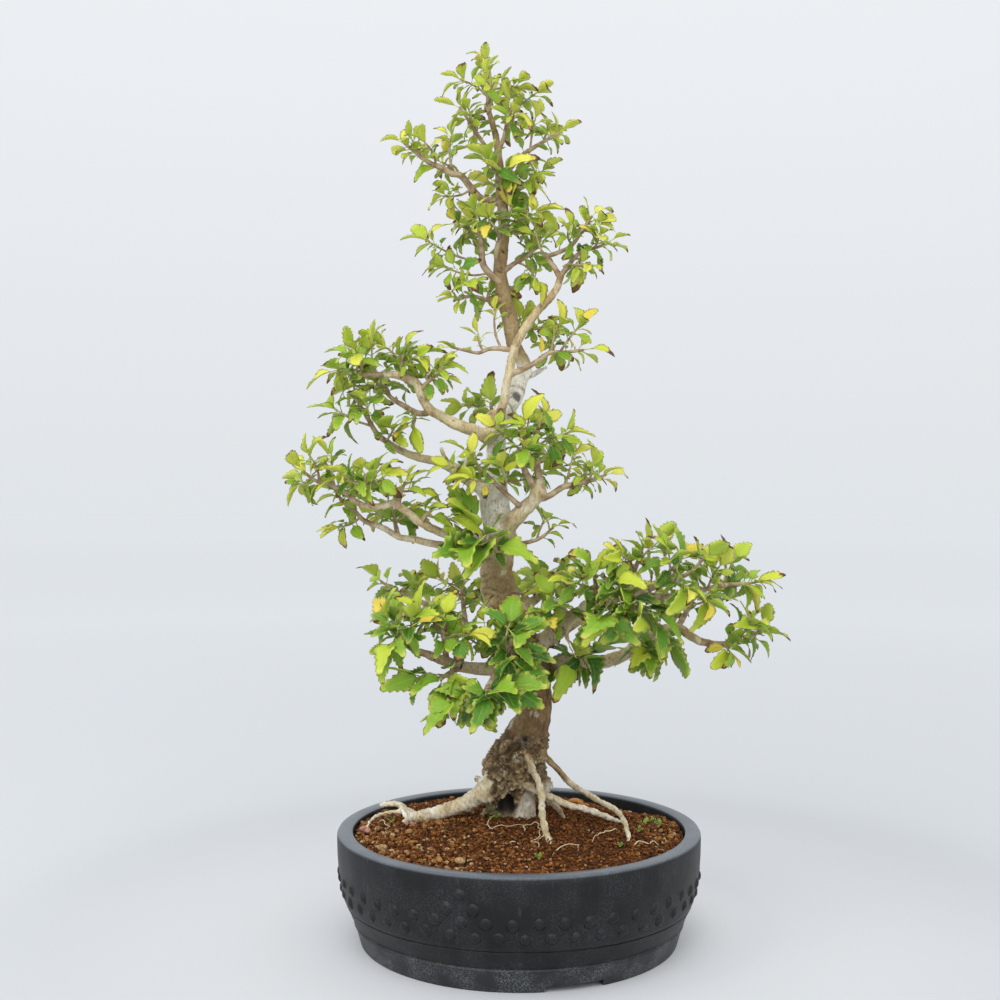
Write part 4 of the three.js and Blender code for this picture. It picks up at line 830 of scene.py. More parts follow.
# Painted shade: the creases and curls of the burls, the bark's fissures, its folds and its pores are
# painted darker, as the shade that falls in them. Scraped spots get less of it.
painted_crease_shade = at_foot * (0.42 - 0.6 * ridges)
painted_crease_shade += brown_trunk * (1 - eased(z, 262, 276)) * (0.3 - 0.3 * fissures) + 0.1 * (1 - fine)
painted_crease_shade += 0.8 * folded + 0.8 * pores - on_root * 0.12 * rings
scraped = near_to(points, (23, -12, 126), 9) + near_to(points, (-33, -8, 132), 6)
scraped = np.clip(scraped + 0.8 * near_to(points, (6, -13, 106), 14) + bare_root, 0, 1)
painted_on(wood, "crease_shade", np.clip(painted_crease_shade, 0, 1) * (1 - 0.8 * scraped))
for place, radius in KNOTS:
    hollow_shade += near_to(points, place, radius)
painted_on(wood, "hollow_shade", np.clip(hollow_shade, 0, 1))
painted_on(wood, "healed", np.clip(scar + 0.8 * ringed, 0, 1))
painted_on(wood, "mossy", mossy)
high = (0.5 * eased(z, 252, 285) + 0.5 * eased(z, 325, 350)) * (1 - 0.75 * eased(z, 470, 500))
tanned = np.exp(-(((z - 298) / 16) ** 2) - ((x + 12) / 13) ** 2) * (y < 0)
pale = on_trunk * (0.06 + 0.94 * high - 0.4 * tanned)
pale += (1 - on_trunk) * (0.66 - 0.35 * eased(z, 480, 560))
pale += (0.34 + 0.4 * on_root - pale) * (1 - eased(z, 146, 172))
# Painted highlight: the ridges of the burls at the foot are painted lighter. Scraped spots are bare pale
# wood.
pale += 0.5 * at_foot * np.clip(ridges, 0, 1) + (0.95 - pale) * scraped
pale -= 0.5 * on_root * near_to(points, (30, -4, 143), 22)
bleached = eased(z, 437, 447) * (1 - eased(z, 478, 488)) * eased(y, -3, 3)
pale += (1 - pale) * bleached
painted_on(wood, "pale", np.clip(pale + 0.1 * ripples(points, 22, 28), 0, 1))
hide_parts("trunk")

crease_shade, hollow_shade, healed, pale, mossy = (
    number_on(bark, name) for name in ("crease_shade", "hollow_shade", "healed", "pale", "mossy")
)
place = where_on(bark)
drawn_out = add_node(bark, "Mapping", {"Vector": place, "Scale": (1, 1, 0.3)}).outputs[0]
patches = cloud(bark, place, 90, 6)
grain = cloud(bark, drawn_out, 520, 5)
flecks = cloud(bark, place, 1100, 4)
cloudy = cloud(bark, place, 40, 4)
base = stops(bark, pale, [
    (0.0, paint(124, 98, 60)), (0.18, paint(146, 118, 78)), (0.35, paint(178, 152, 108)),
    (0.65, paint(210, 192, 150)), (1.0, paint(248, 244, 232)),
])
browned = add_node(bark, "MapRange", {"Value": pale, "From Min": 0.6, "To Min": 0.8, "To Max": 0.35})
browned = times(bark, share_between(bark, patches, 0.52, 0.66), browned.outputs[0])
colour_of(bark, layered(
    bark, base,
    (browned, (152, 124, 84)),
    (times(bark, share_between(bark, patches, 0.42, 0.3), 0.8), (226, 218, 196)),
    (times(bark, share_between(bark, cloudy, 0.5, 0.7), 0.4), (150, 140, 96)),
    (times(bark, share_between(bark, grain, 0.54, 0.7), 0.5), (104, 78, 48)),
    (times(bark, share_between(bark, flecks, 0.6, 0.68), 0.6), (84, 64, 42)),
    # Painted shade in the creases, folds and pores.
    (times(bark, crease_shade, 0.85), (66, 46, 26)),
    (times(bark, share_between(bark, patches, 0.44, 0.56), times(bark, mossy, 0.75)), (104, 108, 52)),
    # Painted shade in the hollow and the knot holes.
    (hollow_shade, (38, 32, 28)),
    (times(bark, healed, 0.9), (84, 82, 82)),
))
bumped(bark, (patches, 0.0008), (grain, 0.0007), (flecks, -0.0003))

fine_root = new_finish("fine_root", 0.7)
colour_of(fine_root, paint(208, 190, 154))
draw = np.random.default_rng(8)
hairs = []
for path in FINE_ROOTS:
    rows = even_path([(x, y, 0, 0.5) for x, y in path], 4.5)
    x, y = rows[:, :2].T + draw.normal(0, 0.9, (2, len(rows)))
    lift = 1.7 + 0.5 * draw.normal(size=len(x))
    rows = np.stack([x, y, soil_height(x, y) + lift, np.linspace(0.55, 0.28, len(x))], -1)
    rows[[0, -1], 2] -= 2.4
    hairs.append(tube(even_path(rows, 1.2), 5))
points, faces = joined(hairs)
fine_roots = new_piece("fine_roots", points, faces, [fine_root] * len(faces))

# The leafy sprays. Each is a young stem with side shoots and soft leaves, grown from a limb and
# a piece of its own. A row holds its grown leaf's length, its stem as (x, y, z, radius), and its
# shoots as (share of the stem's length, x, y, z of the shoot's tip).
SPRAYS = {
    "apex": (24, [
        (-25, 10, 696, 2.1), (-26, 10, 710, 1.8), (-24, 10, 726, 1.5), (-27, 9, 741, 1.1),
    ], [(0.35, -50, 3, 724), (0.5, 0, 5, 718), (0.2, -27, -20, 716), (0.3, -20, 38, 722)]),
    "top_right": (24, [
        (-15, 8, 643, 2.8), (-8, 8, 649, 2.4), (-1, 7, 657, 2.2), (7, 6, 663, 2), (20, 5, 671, 1.6),
        (35, 4, 679, 1.1),
    ], [(0.55, 14, -10, 688), (0.75, 28, 22, 690), (0.4, 14, 0, 645)]),
    "top_inner": (24, [
        (-17, 9, 664, 2), (-12.6, 8, 676, 1.7), (-9.8, 7, 689, 1.4), (-6, 6, 702, 1.1),
    ], [(0.8, 16, 6, 714), (0.5, -4, -20, 690), (0.6, 0, 32, 696)]),
    "top_left": (24, [
        (-17, 10, 657, 2), (-26, 9, 666, 1.8), (-34.6, 8, 678, 1.6), (-43, 7, 691, 1.3),
        (-50, 6, 701, 1),
    ], [(0.5, -42, -14, 694), (0.45, -38, 34, 690)]),
    "upper_left": (24, [
        (-13, 9, 620, 3.6), (-32.5, 6, 624, 3.2), (-41, 4, 633, 3), (-49, 2, 642, 2.8),
        (-57.5, 0, 643.6, 2.6), (-66, -2, 648, 2.4), (-74, -3, 651, 2.1), (-82, -4, 656, 1.8),
        (-88.5, -4, 661.5, 1.6), (-97, -5, 668, 1.1),
    ], [
        (0.85, -90, -8, 670), (0.5, -57, 2, 677), (0.55, -66, 26, 660), (0.68, -78, -20, 664),
        (0.3, -64, -10, 622),
    ]),
    "collar_front": (29, [
        (-15, 8, 632, 2.2), (-13, -4, 638, 1.7), (-12, -16, 640, 1.2),
    ], [(0.5, -28, -16, 652), (0.6, 8, -14, 632)]),
    "collar_back": (25, [
        (-14, 9, 622, 2.2), (-6, 22, 630, 1.7), (2, 34, 640, 1.2),
    ], [(0.6, -26, 38, 646), (0.7, 22, 30, 654)]),
    "middle_left": (27, [
        (-15, 8, 552, 3.4), (-22, 5, 557, 3.1), (-30, 3, 566.5, 2.8), (-31.4, 2, 583, 2.4),
        (-33, 1, 591.5, 2), (-41, 0, 596, 1.6), (-54, -1, 601, 1.1),
    ], [(0.35, -78, -4, 586), (0.2, -62, -12, 562), (0.6, -36, -22, 608), (0.5, -40, 26, 596)]),
    "middle_low": (26, [
        (-12, 8, 538, 2.6), (-25, 0, 536, 2), (-38, -8, 538, 1.6), (-52, -12, 536, 1.1),
    ], [(0.6, -44, -28, 548), (0.4, -24, 24, 548)]),
    "middle_front": (28, [
        (-16, 4, 562, 2.6), (-19, -6, 575, 2.2), (-16, -9, 586, 1.9), (-10, -10, 600, 1.5),
        (-6.5, -10, 613, 1.1),
    ], [(0.5, -26, -28, 600), (0.6, 14, -16, 606)]),
    "middle_back": (27, [
        (-14, 10, 585, 2.4), (-12, 25, 594, 1.8), (-9, 38, 604, 1.2),
    ], [(0.5, 18, 34, 602), (0.6, -36, 42, 610)]),
    "centre_right": (27, [
        (-15, 9, 560, 2.6), (-4, 6, 568, 2), (8, 2, 574, 1.6), (18, 0, 585, 1.1),
    ], [(0.4, 14, -10, 552), (0.6, 12, 30, 580)]),
    "back_high": (26, [
        (-7, 10, 508, 2.4), (-2, 26, 516, 1.8), (2, 38, 526, 1.2),
    ], [(0.6, 24, 30, 516)]),
    "upper_right": (25, [
        (34, -14, 554, 2.5), (28.5, -14, 563, 2.1), (24, -14, 570, 2), (31.4, -15, 573, 1.8),
        (43.5, -15, 579, 1.6), (50, -15, 587.5, 1.5), (54, -15, 594, 1.4), (61, -15, 604, 1.1),
    ], [(0.25, 14, -18, 592), (0.6, 40, -30, 588), (0.8, 68, -10, 600)]),
    "right_tip": (26, [
        (34.5, -14, 554, 2.4), (40, -14, 561, 2.1), (46, -14, 569, 1.8), (52, -14, 574, 1.6),
        (61, -14, 577, 1.4), (68, -14, 579, 1.2), (75, -14, 582, 1),
    ], [(0.2, 56, -28, 560), (0.4, 52, 12, 566), (0.75, 66, -32, 586)]),
    "middle_right": (25, [
        (-8, -15, 472, 2.8), (1, -16, 475, 2.5), (11, -17, 480, 2.2), (19, -17, 485, 2),
        (26, -17, 490, 1.8), (37.6, -17, 490, 1.5), (54, -17, 492, 1.1),
    ], [(0.6, 34, -18, 514), (0.7, 52, -22, 514), (0.5, 30, 14, 500)]),
    "twig_left": (20, [
        (-4, -15, 492, 2.4), (-17.5, -15, 493.5, 2), (-26, -14, 493, 1.7), (-33, -14, 490, 1.4),
        (-45, -14, 492, 1.2), (-57, -14, 495, 1),
    ], [(0.5, -34, -16, 506), (0.2, -20, -16, 526)]),
    "third_tip": (28, [
        (-112, -15, 471.4, 2.6), (-126, -16, 471.5, 2.2), (-138, -18, 471.5, 1.8),
        (-151, -20, 475, 1.1),
    ], [(0.5, -134, -38, 490), (0.6, -142, 4, 490), (0.2, -122, -22, 495)]),
    "third_top": (28, [
        (-94, -15, 467, 2.5), (-98, -14, 479, 1.9), (-97, -12, 489, 1.2),
    ], [(0.6, -112, -4, 496), (0.5, -84, -30, 486), (0.6, -98, 16, 486)]),
    "third_inner": (26, [
        (-83, -15, 456, 2.4), (-76, -18, 465, 1.8), (-66, -20, 472, 1.2),
    ], [(0.5, -72, 2, 478), (0.6, -62, -34, 478)]),
    "third_back": (28, [
        (-72, -15, 441, 2.8), (-84, -4, 440, 2.5), (-99, 5, 448, 2.2), (-107, 10, 453, 1.9),
        (-115, 14, 461, 1.5), (-124, 18, 470, 1.1),
    ], [(0.7, -124, 36, 470), (0.85, -142, 12, 464), (0.3, -88, -16, 428)]),
    "second_tip": (28, [
        (-109, 0, 414.5, 2.6), (-119, 0, 422, 2.3), (-127.6, -1, 436, 1.8), (-134, -2, 447, 1.5),
        (-141, -3, 457, 1.1),
    ], [(0.4, -156, 0, 444), (0.5, -126, -26, 448), (0.1, -104, -18, 426)]),
    "left_tip": (26, [
        (-133, -41.5, 365, 2.3), (-143, -43, 374, 2), (-156, -45, 380, 1.7), (-166, -46, 383, 1.4),
        (-175, -46, 390, 1.1),
    ], [(0.7, -170, -54, 404), (0.45, -154, -34, 404), (0.8, -182, -28, 380)]),
    "left_mid": (28, [
        (-122, -40, 361.5, 2.2), (-124, -44, 375, 1.7), (-125, -48, 388, 1.1),
    ], [(0.6, -108, -60, 386), (0.6, -142, -56, 388), (0.5, -118, -24, 388)]),
    "left_inner": (26, [
        (-100, -34, 360.5, 2.4), (-97, -36, 373, 1.6), (-93, -38, 382, 1.1),
    ], [(0.6, -84, -28, 374)]),
    "left_near": (30, [
        (-80, -28.5, 347.5, 2.2), (-77, -34, 354, 1.7), (-72, -38, 358, 1.2),
    ], [(0.6, -54, -42, 352)]),
    "lower_tip": (27, [
        (-121, 4, 345.2, 2.3), (-132, 5, 350, 2), (-140, 5, 358.5, 1.8), (-150.4, 5, 367, 1.5),
        (-157, 5, 377, 1.1),
    ], [(0.6, -150, 28, 380), (0.5, -136, -14, 374), (0.3, -152, 0, 344)]),
    "lower_mid": (28, [
        (-102, 2, 336, 2.2), (-106, 12, 349, 1.6), (-109, 18, 362, 1.1),
    ], [(0.6, -92, 30, 358), (0.5, -126, 26, 358)]),
    "trunk_left": (44, [
        (-30, -8, 331, 2.4), (-27, -22, 330, 2), (-23, -32, 330, 1.4),
    ], [(0.7, -34, -34, 344), (0.8, -38, -36, 330)]),
    "centre_left": (28, [
        (14.5, -24, 374, 3), (8, -27, 385, 2.7), (3, -29, 397, 2.3), (4, -30, 412.5, 1.8),
        (3, -31, 427, 1.2),
    ], [(0.6, -20, -42, 426), (0.5, 4, -54, 410), (0.75, 8, -8, 434)]),
    "centre_top": (28, [
        (17.5, -24, 381, 3.2), (15, -22, 396, 2.8), (14, -21, 408.5, 2.3), (15, -20, 420, 1.8),
        (18, -18, 432, 1.2),
    ], [(0.6, 40, -26, 422), (0.5, 28, 12, 418)]),
    "centre_tip": (24, [
        (12, -23, 367, 3), (24, -24, 370, 2.6), (37, -25, 378, 2.4), (50.4, -26, 380.5, 2),
        (62, -26, 384, 1.6), (72, -26, 388, 1.1),
    ], [(0.45, 45, -26, 406), (0.75, 60, -38, 400), (0.6, 58, 2, 392)]),
    "centre_front": (26, [
        (4, -22, 359, 2.4), (-4, -30, 366, 2.2), (-16, -32, 377, 1.9), (-24, -34, 385, 1.6),
        (-32, -35, 393, 1.4), (-41, -37, 406, 1),
    ], [(0.4, -14, -50, 394), (0.5, -40, -50, 384), (0.5, -58, -30, 396)]),
    "trunk_right": (26, [
        (-8, -3, 330, 2.4), (5.3, -7, 331, 1.8), (18, -9, 335, 1.4), (29, -10, 344, 1),
    ], [(0.6, 22, 8, 350)]),
    "back_low": (30, [
        (-20, 4, 372, 2.8), (-14, 22, 382, 2.2), (-8, 38, 394, 1.3),
    ], [(0.6, -38, 42, 394), (0.6, 20, 36, 390)]),
    "back_middle": (28, [
        (-17, 6, 430, 2.6), (-22, 24, 440, 2), (-24, 38, 452, 1.2),
    ], [(0.6, -48, 34, 450)]),
    "front_left_tip": (32, [
        (-70, -79, 245, 3), (-83, -84, 250, 2.5), (-93, -85, 258, 2.1), (-102, -86, 270, 1.3),
    ], [(0.45, -84, -102, 276), (0.6, -102, -58, 278), (0.7, -100, -102, 256)]),
    "front_left_mid": (30, [
        (-58, -71, 239, 2.6), (-60, -75, 257, 2), (-62, -78, 272, 1.3),
    ], [(0.5, -40, -92, 262), (0.6, -80, -76, 280), (0.5, -64, -52, 281)]),
    "front_left_low": (36, [
        (-46, -63, 234, 2.4), (-56, -80, 231, 1.9), (-62, -94, 228, 1.2),
    ], [(0.7, -80, -90, 229), (0.6, -46, -100, 226)]),
    "front_tip": (38, [
        (-24, -91, 221.5, 2.8), (-26, -102, 221, 2.2), (-26, -112, 222, 1.4),
    ], [(0.5, -6, -110, 226), (0.6, -50, -108, 214)]),
    "front_mid": (38, [
        (-14, -65, 233, 2.6), (-10, -79, 247, 2), (-6, -89, 260, 1.3),
    ], [(0.6, 0, -84, 244), (0.6, -8, -74, 270)]),
    "front_near": (29, [
        (-14, -27, 229.5, 2.8), (-22, -34, 246, 2.2), (-28, -38, 262, 1.3),
    ], [(0.5, -46, -28, 258), (0.7, -10, -54, 262)]),
    "back_left_tip": (29, [
        (-68, 59, 269, 2.9), (-88, 66, 276, 2.3), (-108, 72, 284, 1.6), (-124, 74, 294, 1.1),
    ], [(0.5, -92, 90, 294), (0.35, -86, 44, 292), (0.6, -112, 98, 278)]),
    "back_left_mid": (28, [
        (-46, 46.5, 256, 2.6), (-48, 44, 273, 2), (-50, 40, 290, 1.3),
    ], [(0.6, -70, 32, 300), (0.5, -34, 66, 284)]),
    "back_tip": (30, [
        (29, 84, 285, 2.8), (40, 100, 290, 2.1), (49, 112, 297, 1.3),
    ], [(0.4, 20, 112, 296)]),
    "back_near": (28, [
        (12, 54, 276, 2.6), (4, 62, 283, 1.9), (-4, 68, 290, 1.2),
    ], [(0.6, -22, 84, 290), (0.5, 26, 50, 296)]),
    "front_right_tip": (30, [
        (101, -48.5, 293.5, 3), (111, -52, 298, 2.6), (125, -56, 303, 2.1), (138, -58, 310, 1.6),
        (147, -59, 320, 1.2),
    ], [(0.4, 118, -72, 324), (0.5, 134, -34, 322), (0.5, 130, -82, 298)]),
    "front_right_up": (28, [
        (84, -45, 291, 2.8), (89, -45, 301, 2.4), (95, -45, 314, 1.8), (100, -44, 328, 1.2),
    ], [(0.5, 80, -62, 324), (0.55, 114, -28, 332)]),
    "front_right_mid": (30, [
        (62, -38, 281, 2.6), (62, -46, 296, 2), (60, -50, 309, 1.3),
    ], [(0.5, 40, -60, 302), (0.6, 78, -70, 304)]),
    "front_right_low": (38, [
        (80, -45, 289, 2.4), (86, -60, 286, 2), (88, -73, 280, 1.3),
    ], [(0.7, 106, -78, 278), (0.6, 68, -78, 276)]),
    "right_near": (30, [
        (44, -25, 267, 2.6), (37, -34, 277, 2), (30, -40, 285, 1.2),
    ], [(0.5, 18, -50, 272), (0.6, 24, -22, 291)]),
    "right_outer": (29, [
        (101.5, -48, 291, 2.4), (118, -42, 288, 2.3), (143, -38, 292, 2.1), (168, -32, 297, 1.8),
        (188, -26, 298, 1.2),
    ], [(0.6, 162, -50, 314), (0.75, 180, -10, 316), (0.5, 150, -60, 284), (0.9, 199, -22, 299)]),
    "far_right_tip": (29, [
        (153, 6, 247, 3.2), (167, 2, 244.7, 2.8), (183, 0, 246, 2.4), (194, -3, 250, 1.9),
        (204, -6, 258, 1.2),
    ], [(0.6, 194, -26, 264), (0.6, 200, 22, 266), (0.4, 176, -20, 240)]),
    "far_right_mid": (29, [
        (136, 14, 257, 2.8), (146, 20, 273, 2.1), (153, 24, 290, 1.3),
    ], [(0.5, 128, 38, 286), (0.6, 174, 34, 288)]),
    "far_right_back": (30, [
        (104, 29.5, 243, 2.8), (104, 47, 263, 2.2), (102, 57, 282, 1.3),
    ], [(0.6, 78, 66, 280), (0.6, 128, 66, 274)]),
    "far_right_low": (34, [
        (112, 28, 248.5, 2.6), (119, 8, 246, 2), (124, -12, 245, 1.3),
    ], [(0.6, 106, -20, 243)]),
    "trunk_low": (38, [
        (44, 13, 228.5, 2.4), (46, -4, 232, 1.9), (46, -17, 234, 1.3),
    ], [(0.6, 62, -14, 242)]),
}
LEAF_ROWS = np.array([0, 0.08, 0.18, 0.3, 0.38, 0.44, 0.54, 0.6, 0.69, 0.77, 0.86, 0.93, 1])
LEAF_COLUMNS = np.array([-1, -0.5, 0, 0.5, 1])
LOBED_HALF = np.array([0.012, 0.13, 0.3, 0.42, 0.35, 0.38, 0.25, 0.28, 0.17, 0.19, 0.11, 0.11, 0.015])
FAN_HALF = np.array([0.012, 0.06, 0.13, 0.22, 0.27, 0.3, 0.35, 0.38, 0.36, 0.385, 0.31, 0.25, 0.09])
STRAP_HALF = np.array([0.012, 0.08, 0.15, 0.2, 0.21, 0.23, 0.21, 0.22, 0.17, 0.175, 0.1, 0.08, 0.012])
LOBE_FORWARD = np.array([0, 0, 0.2, 0.9, -0.4, 0.6, -0.5, 0.5, -0.5, 0.5, -0.5, 0.3, 0])
FEW_LEAVES = ("trunk_left", "front_left_low", "left_near", "left_inner", "twig_left", "trunk_right")
LARGE_LEAF = 32
STALK_SHARE, STALK_POINTS = 0.25, 12
GOLDEN_TURN = np.radians(137.5)


def leaf_shapes(length, lobed, narrow, singed, draw):
    """Leaves in their own space, one row each: half width times column across, row along, and up
    fold * |x| - arch * y^2 - curl at the singed tip + a wave along the edge. The lower skin shares
    the outline."""
    count = len(length)
    size = length[:, None, None]
    half = FAN_HALF + narrow[:, None] * (STRAP_HALF - FAN_HALF)
    half = half + lobed[:, None] * (LOBED_HALF - half)
    half = half * draw.uniform(0.85, 1.1, (count, 1))
    shares = draw.uniform(0, 1, (7, count, 1, 1))
    across = half[:, :, None] * LEAF_COLUMNS * size
    rows = LEAF_ROWS[:, None] + 0.06 * LOBE_FORWARD[:, None] * LEAF_COLUMNS**2
    along = rows * size
    up = (0.1 + 0.6 * shares[0]) * np.abs(across) - (0.08 + 0.62 * shares[1]) * rows**2 * size
    curl = 2.6 * singed[:, None, None] * shares[2] - 0.2
    up = up - curl * np.maximum(0, rows - 0.62) ** 2 * size
    ripple = np.sin(rows * (6 + 5 * shares[3]) + 6.3 * shares[4] + 1.4 * np.sign(LEAF_COLUMNS))
    up = up + 0.035 * LEAF_COLUMNS**2 * ripple * size
    across = across + 0.16 * (shares[6] - 0.5) * rows**2 * size
    twist = 1.1 * (shares[5] - 0.5) * rows
    turned_across = across * np.cos(twist) - up * np.sin(twist)
    across, up = turned_across, across * np.sin(twist) + up * np.cos(twist)
    top = np.stack([across, along + 0 * across, up], -1)
    lower = top[:, 1:-1, 1:-1] - [0, 0, 1] * (0.016 * size[..., None])
    return np.concatenate([top.reshape(count, -1, 3), lower.reshape(count, -1, 3)], axis=1)


def leaf_faces():
    """Faces of one leaf's upper skin, its lower skin turned over, and its stalk."""
    rows, columns = len(LEAF_ROWS), len(LEAF_COLUMNS)
    upper = np.arange(rows * columns).reshape(rows, columns)
    lower = upper.copy()
    lower[1:-1, 1:-1] = rows * columns + np.arange((rows - 2) * (columns - 2)).reshape(rows - 2, -1)
    flat = grid_faces(rows, columns, closed=False)
    below = lower.ravel()[flat][:, ::-1]
    start = int(lower.max()) + 1
    stalk = grid_faces(3, 4) + start
    caps = np.array([[3, 2, 1, 0], [8, 9, 10, 11]]) + start
    return np.vstack([flat, below, stalk, caps]), start + STALK_POINTS


LEAF_FACES, LEAF_POINTS = leaf_faces()
LEAF_UNDER = np.zeros(LEAF_POINTS)
LEAF_UNDER[len(LEAF_ROWS) * len(LEAF_COLUMNS):-STALK_POINTS] = 1


def lay_out_leaves(piece, faces, before, count):
    """The map of a piece's leaves, across and along each one. The points before them and the
    stalks lie at the leaf's foot."""
    spots = np.stack(np.meshgrid((LEAF_COLUMNS + 1) / 2, LEAF_ROWS), -1)
    stalk = np.tile([0.5, 0], (STALK_POINTS, 1))
    one = np.vstack([spots.reshape(-1, 2), spots[1:-1, 1:-1].reshape(-1, 2), stalk])
    spots = np.vstack([np.tile([0.5, 0.0], (before, 1)), np.tile(one, (count, 1))])
    corners = np.concatenate([group.ravel() for group in faces])
    layer = piece.data.uv_layers.new(name="leaf")
    layer.data.foreach_set("uv", spots[corners].astype(np.float32).ravel())


def unit(vectors):
    return vectors / np.linalg.norm(vectors, axis=-1, keepdims=True)


def leaf_ways(axis, spread, turn, droop):
    """Where leaves point: axis cos(spread) + (side cos(turn) + over sin(turn)) sin(spread), less
    their droop."""
    side = np.cross([0, 0, 1], axis)
    side = unit(side) if np.linalg.norm(side) > 0.03 else np.array([1.0, 0, 0])
    over = np.cross(axis, side)
    ring = side * np.cos(turn)[:, None] + over * np.sin(turn)[:, None]
    ways = axis * np.cos(spread)[:, None] + ring * np.sin(spread)[:, None]
    return unit(ways - [0, 0, 1] * np.asarray(droop).reshape(-1, 1))


def cluster(tip, axis, leaf, small, count, first_stalk, first_spread, droop, draw):
    """Leaves round a shoot's tip: the first is the grown one, and each of the others leaves the
    shoot a little further back, a golden turn round it, and spreads wider."""
    at = np.arange(count)
    spread = np.where(at == 0, first_spread, np.minimum(1.5, 0.5 + 0.17 * at))
    spread = spread + draw.uniform(-0.15, 0.15, count) * (at > 0)
    turn = GOLDEN_TURN * at + draw.uniform(0, 2 * np.pi) + draw.uniform(-0.4, 0.4, count)
    ways = leaf_ways(axis, spread, turn, droop * (0.4 + at / 5))
    stalks = np.where(at == 0, first_stalk, leaf * draw.uniform(0.08, 0.3, count))
    length = leaf * np.where(at < 2, draw.uniform(0.85, 1.15, count), draw.uniform(small, 0.95, count))
    roots = tip - axis * (1.2 + 2 * at[:, None])
    return roots, ways, stalks, length, np.minimum(1, at / 6)


def sides_of(path, leaf, shares, droop, draw):
    """Single leaves along a shoot, each on its own stalk, turned round it by golden turns."""
    at = np.arange(len(shares))
    tangent = np.gradient(path[:, :3], axis=0)
    index = np.round(np.array(shares) * (len(path) - 1)).astype(int)
    ways = [
        leaf_ways(unit(tangent[k]), np.array([0.95 + draw.uniform(-0.25, 0.3)]),
                  np.array([GOLDEN_TURN * n + draw.uniform(0, 2)]), droop)[0]
        for n, k in zip(at, index)
    ]
    stalks = leaf * draw.uniform(0.15, 0.35, len(at))
    length = leaf * draw.uniform(0.4, 0.95, len(at))
    return path[index, :3], np.array(ways).reshape(-1, 3), stalks, length, np.ones(len(at))


def grown_leaves(roots, ways, stalks, length, leaf, singed, draw):
    """Points of leaves set in place: each leaf's own x, y and z run along its across, its way and
    its face, and its face looks up and out from the tree."""
    feet = roots + ways * stalks[:, None]
    face = unit(feet * [1, 1, 0] + 1e-6) * 0.55 + [0, 0, 0.8]
    face = unit(face - ways * (face * ways).sum(1, keepdims=True))
    roll = draw.normal(0, 0.42, len(feet))[:, None]
    face = face * np.cos(roll) + np.cross(ways, face) * np.sin(roll)
    across = np.cross(ways, face)
    lobed = np.clip((leaf - 23.5) / 9, 0, 1) * draw.uniform(0.4, 1.15, len(feet))
    narrow = draw.uniform(0, 1, len(feet)) ** 0.8
    shapes = leaf_shapes(length, lobed, narrow, singed, draw)
    basis = np.stack([across, ways, face], axis=1)
    blades = feet[:, None] + np.einsum("nki,nij->nkj", shapes, basis)
    angle = np.arange(4) / 4 * 2 * np.pi
    ring = face[:, None] * np.cos(angle)[:, None] + across[:, None] * np.sin(angle)[:, None]
    middles = np.stack([roots, (roots + feet) / 2 + face * 0.06 * stalks[:, None], feet + ways * 0.6], 1)
    thick = 0.4 + 0.005 * leaf
    stalk = middles[:, :, None] + ring[:, None] * thick * np.array([1.1, 0.9, 0.7])[:, None, None]
    return np.concatenate([blades, stalk.reshape(len(feet), STALK_POINTS, 3)], axis=1)


twig = new_finish("twig_bark", 0.8)
patches = cloud(twig, where_on(twig), 160, 5)
base = mixed(twig, share_between(twig, patches, 0.4, 0.62), paint(182, 162, 130), paint(138, 112, 82))
colour_of(twig, base)
bumped(twig, (patches, 0.0005))

leaf_skin = new_finish("leaf_skin", 0.45, subsurface_weight=0.2, subsurface_scale=0.003,
                       specular_ior_level=0.28)
leaf_skin.node_tree.nodes["Principled BSDF"].inputs["Subsurface Radius"].default_value = (0.7, 1, 0.25)
tone, burn, under = (number_on(leaf_skin, name) for name in ("tone", "burn", "under"))
spot = add_node(leaf_skin, "UVMap", uv_map="leaf").outputs[0]
split = add_node(leaf_skin, "SeparateXYZ", {0: spot})
blotch = cloud(leaf_skin, where_on(leaf_skin), 170, 4)


def worked(finish, kind, first, second=0.0, third=0.0):
    """One step of arithmetic."""
    inputs = {0: first, 1: second, 2: third}
    return add_node(finish, "Math", inputs, operation=kind).outputs[0]


off_rib = worked(leaf_skin, "ABSOLUTE", worked(leaf_skin, "MULTIPLY_ADD", split.outputs["X"], 2, -1))
outer = worked(leaf_skin, "POWER", off_rib, 2.2)
upper = worked(leaf_skin, "POWER", split.outputs["Y"], 3)
margin = worked(leaf_skin, "MAXIMUM", outer, upper)
margin = worked(leaf_skin, "ADD", margin, worked(leaf_skin, "MULTIPLY_ADD", blotch, 0.7, -0.35))
slope = worked(leaf_skin, "MULTIPLY_ADD", off_rib, -0.32, split.outputs["Y"])
veins = worked(leaf_skin, "PINGPONG", worked(leaf_skin, "MULTIPLY", slope, 6.5), 0.5)
side_vein = share_between(leaf_skin, veins, 0.1, 0.02)
rib = share_between(leaf_skin, off_rib, 0.1, 0.03)
veined = worked(leaf_skin, "MAXIMUM", rib, times(leaf_skin, side_vein, 0.6))
base = stops(leaf_skin, tone, [
    (0.0, paint(226, 188, 60)), (0.1, paint(216, 210, 84)), (0.25, paint(184, 196, 54)),
    (0.5, paint(130, 166, 42)), (0.75, paint(74, 124, 30)), (1.0, paint(34, 74, 18)),
])
singe = worked(leaf_skin, "MULTIPLY_ADD", burn, 0.34, split.outputs["Y"])
singe = worked(leaf_skin, "MULTIPLY_ADD", blotch, 0.5, singe)
singe = worked(leaf_skin, "MULTIPLY_ADD", outer, 0.08, singe)
